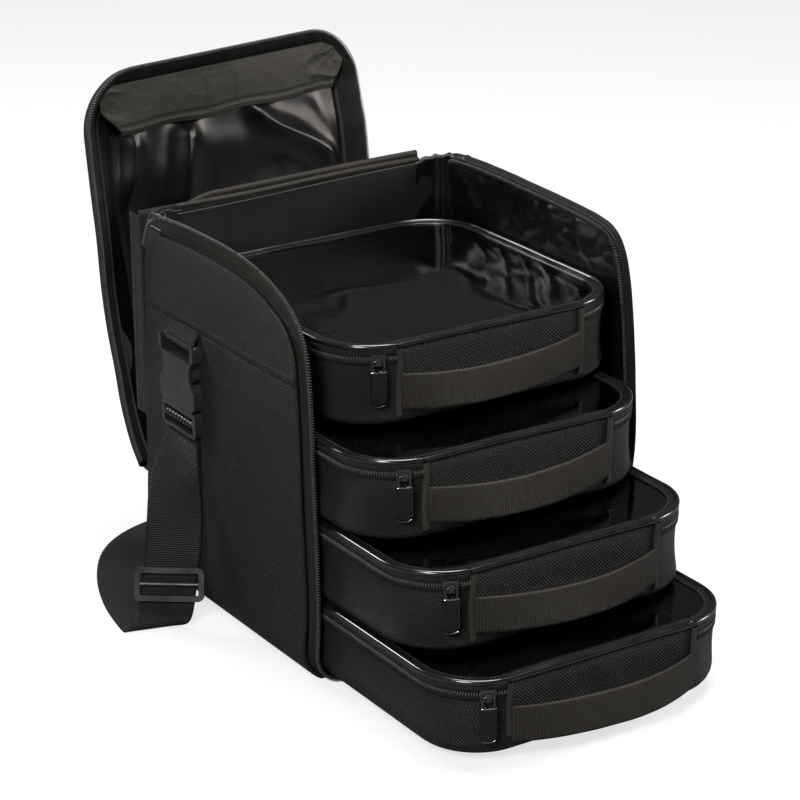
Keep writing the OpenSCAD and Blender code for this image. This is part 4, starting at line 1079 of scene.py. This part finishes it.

# Zip pulls: a cast loop hangs in the slider's bridge and carries a flat black plate, 14 x 28 mm, with
# a raised edge and a rounded end. Strips of bright grey metal on its bar and lower lip are painted
# highlights.
pulls = [(f"pouch_pull_{k + 1}",
          (pouch_shifts[k] - 113.3, pouch_fronts[k] - 0.55, 64.8 + pouch_pitch * k), -25)
         for k in range(4)]
pulls += [("main_pull_left", (-154.8, slider_y, 348.2), 90),
          ("main_pull_right", (167.6, slider_y, 348.2), 90)]
plate_half, plate_middle = 7, array([0, -23])
edge = concatenate([[[-7, -9], [-6.2, -8], [6.2, -8], [7, -9]],
                    [0, -34.5] - arc(linspace(180, 0, 20), plate_half, 4.5), [[-7, -9]]])
plate_edge = even(edge, 97)[:-1]
# Each row of the plate's section gives how far out it lies and how far forward.
plate_rows = array([[0.02, 0.9], [0.5, 0.9], [0.8, 0.9], [0.9, 0.95], [0.93, 0.8], [0.965, 0.3],
                    [0.99, -0.2], [1.0, -0.6], [0.98, -0.85], [0.5, -0.9], [0.02, -0.9]])
out_to, forward = plate_rows[:, :1, None], plate_rows[:, 1:, None]
drawn_in = (1 - out_to) * np.where(out_to < 0.7, 1, [1, 0.6])
plate_flat = plate_middle + (plate_edge - plate_middle) * (1 - drawn_in)
a = radians(linspace(0, 360, 73))
loop_flat = even(points(4.6 * squared(cos(a), 0.5), -4.3 + 4.9 * squared(sin(a), 0.5)), 72)
bar_x = linspace(-6.3, 6.3, 24)
bar_flat = points(bar_x, -9.0 - 0.3 * (bar_x / 6.3) ** 6)
lip_flat = [0, -34.4] + arc(linspace(35, 145, 40), 7.0, -4.4)
wire = arc(arange(0, 360, 36))
for name, origin, turn in pulls:
    facing = array([sin(radians(turn)), -cos(radians(turn)), 0])
    axes = array([[-facing[1], facing[0], 0], upward])
    surface(f"{name}_plate", origin + plate_flat @ axes + forward * facing, plate_black, name,
            [name], loop=True)
    line = origin + loop_flat @ axes
    along = unit(np.roll(line, -1, axis=0) - np.roll(line, 1, axis=0))
    along[0] = along[-1] = unit(line[1] - line[-2])
    grid = carry(line, facing, cross(along, facing), wire * 0.95)
    surface(f"{name}_loop", grid, enamel, name, loop=True)
    for word, flat, thick in (("bar", bar_flat, 0.85), ("lip", lip_flat, 0.5)):
        line = origin + flat @ axes + 0.55 * facing
        taper = sin(linspace(0.12, pi - 0.12, len(flat)))[:, None, None] ** 0.4
        along = unit(np.gradient(line, axis=0))
        grid = carry(line, facing, cross(along, facing), wire * thick)
        grid = line[:, None] + (grid - line[:, None]) * taper
        surface(f"{name}_{word}", grid, metal_painted_highlight, name, loop=True)

# ---------------------------------------------------------------- shoulder strap
# 50 mm ribbed webbing. A tab comes out of each side seam and loops through its buckle. From the left
# buckle the strap hangs doubled to the adjuster, runs down to the ground, round behind and up again.
# Each point of the strap has its place and the direction of the webbing's width in plan.
strap_width, strap_thick, on_ground = 50, 1.5, 1.1
left_points = [(-169.5, 62, 167, 0, -1), (-176, 58, 151, .2, -.98), (-187, 50, 128, .52, -.85),
               (-194, 41, 95, .74, -.67), (-198, 40, 62, .79, -.61), (-202.5, 38, 46.5, .81, -.59),
               (-210, 33, 20, .82, -.57), (-216, 30, 8, .9, -.43), (-221, 33.5, 2.4, .95, -.31),
               (-223.5, 42, on_ground, .97, -.24)]
ground_points = [(-213, 95, on_ground, .96, -.28), (-193, 148, on_ground, .88, -.47),
                 (-165, 192, on_ground, .7, -.71), (-130, 217, on_ground, .4, -.92),
                 (-85, 226, on_ground, .1, -.99)]
half_strap = array(left_points + ground_points)
other_half = half_strap[::-1] * [-1, 1, 1, -1, 1]
strap_line = concatenate([half_strap, [[0, 228, on_ground, 0, -1]], other_half])


def strap_grid(places, count, lift):
    """A band of webbing through strap points, its edges a little curled. lift gives how far it is set
    off along its face, from the height there and the share of the length."""
    line = through(places, count)
    way = unit(np.gradient(line[:, :3], axis=0))
    across = unit(np.pad(line[:, 3:], ((0, 0), (0, 1))))
    face = unit(cross(way, across))
    v = linspace(-1, 1, 16)[:, None]
    wave = 0.35 * ruffle(line[:, None, :3] + v * 9, 40, 201) * smooth(line[:, 2:3], 2, 20)
    off = lift(line[:, 2:3], linspace(0, 1, count)[:, None]) + 0.3 * v[:, 0] ** 4 + wave
    return line[:, None, :3] + across[:, None] * v * strap_width / 2 + face[:, None] * off[..., None]


grid = strap_grid(strap_line, 520, lambda z, t: 0.9 * smooth(z, 44, 52))
grid[..., 2] = np.maximum(grid[..., 2], 0.9)
grid = grid.swapaxes(0, 1)
long_strap = surface("strap_long_webbing", grid, strap_webbing, "case",
                     ["strap_double_left", "strap_long"], flip=True, wall=strap_thick)
grid = strap_grid(half_strap[:6], 90, lambda z, t: -0.9 - 0.8 * sin(pi * t)).swapaxes(0, 1)
second = surface("strap_doubled_layer", grid, strap_webbing, "case", flip=True,
                 wall=strap_thick)

# A tab's section in height and distance from the side: out over the buckle's bar and back in.
over_bar = [250.0, 7.5] + 4.2 * arc(90 - linspace(80, -200, 26))
section = concatenate([[[268.2, 1.9], [264, 3.4], [259, 6.5]], over_bar[2:-3],
                       [[257, 2.6], [263, 1.2], [268.0, 0.7]]])
section = through(section, 70)
tab_y = 62 + linspace(-25, 25, 16)[:, None]
for side, word in sides:
    grid = points(side * (case_half + section[:, 1]), tab_y, section[:, 0])
    tab = surface(f"strap_tab_{word}", grid, strap_webbing, "case",
                  ["strap_tabs"] if side < 0 else (), flip=side < 0, wall=strap_thick)
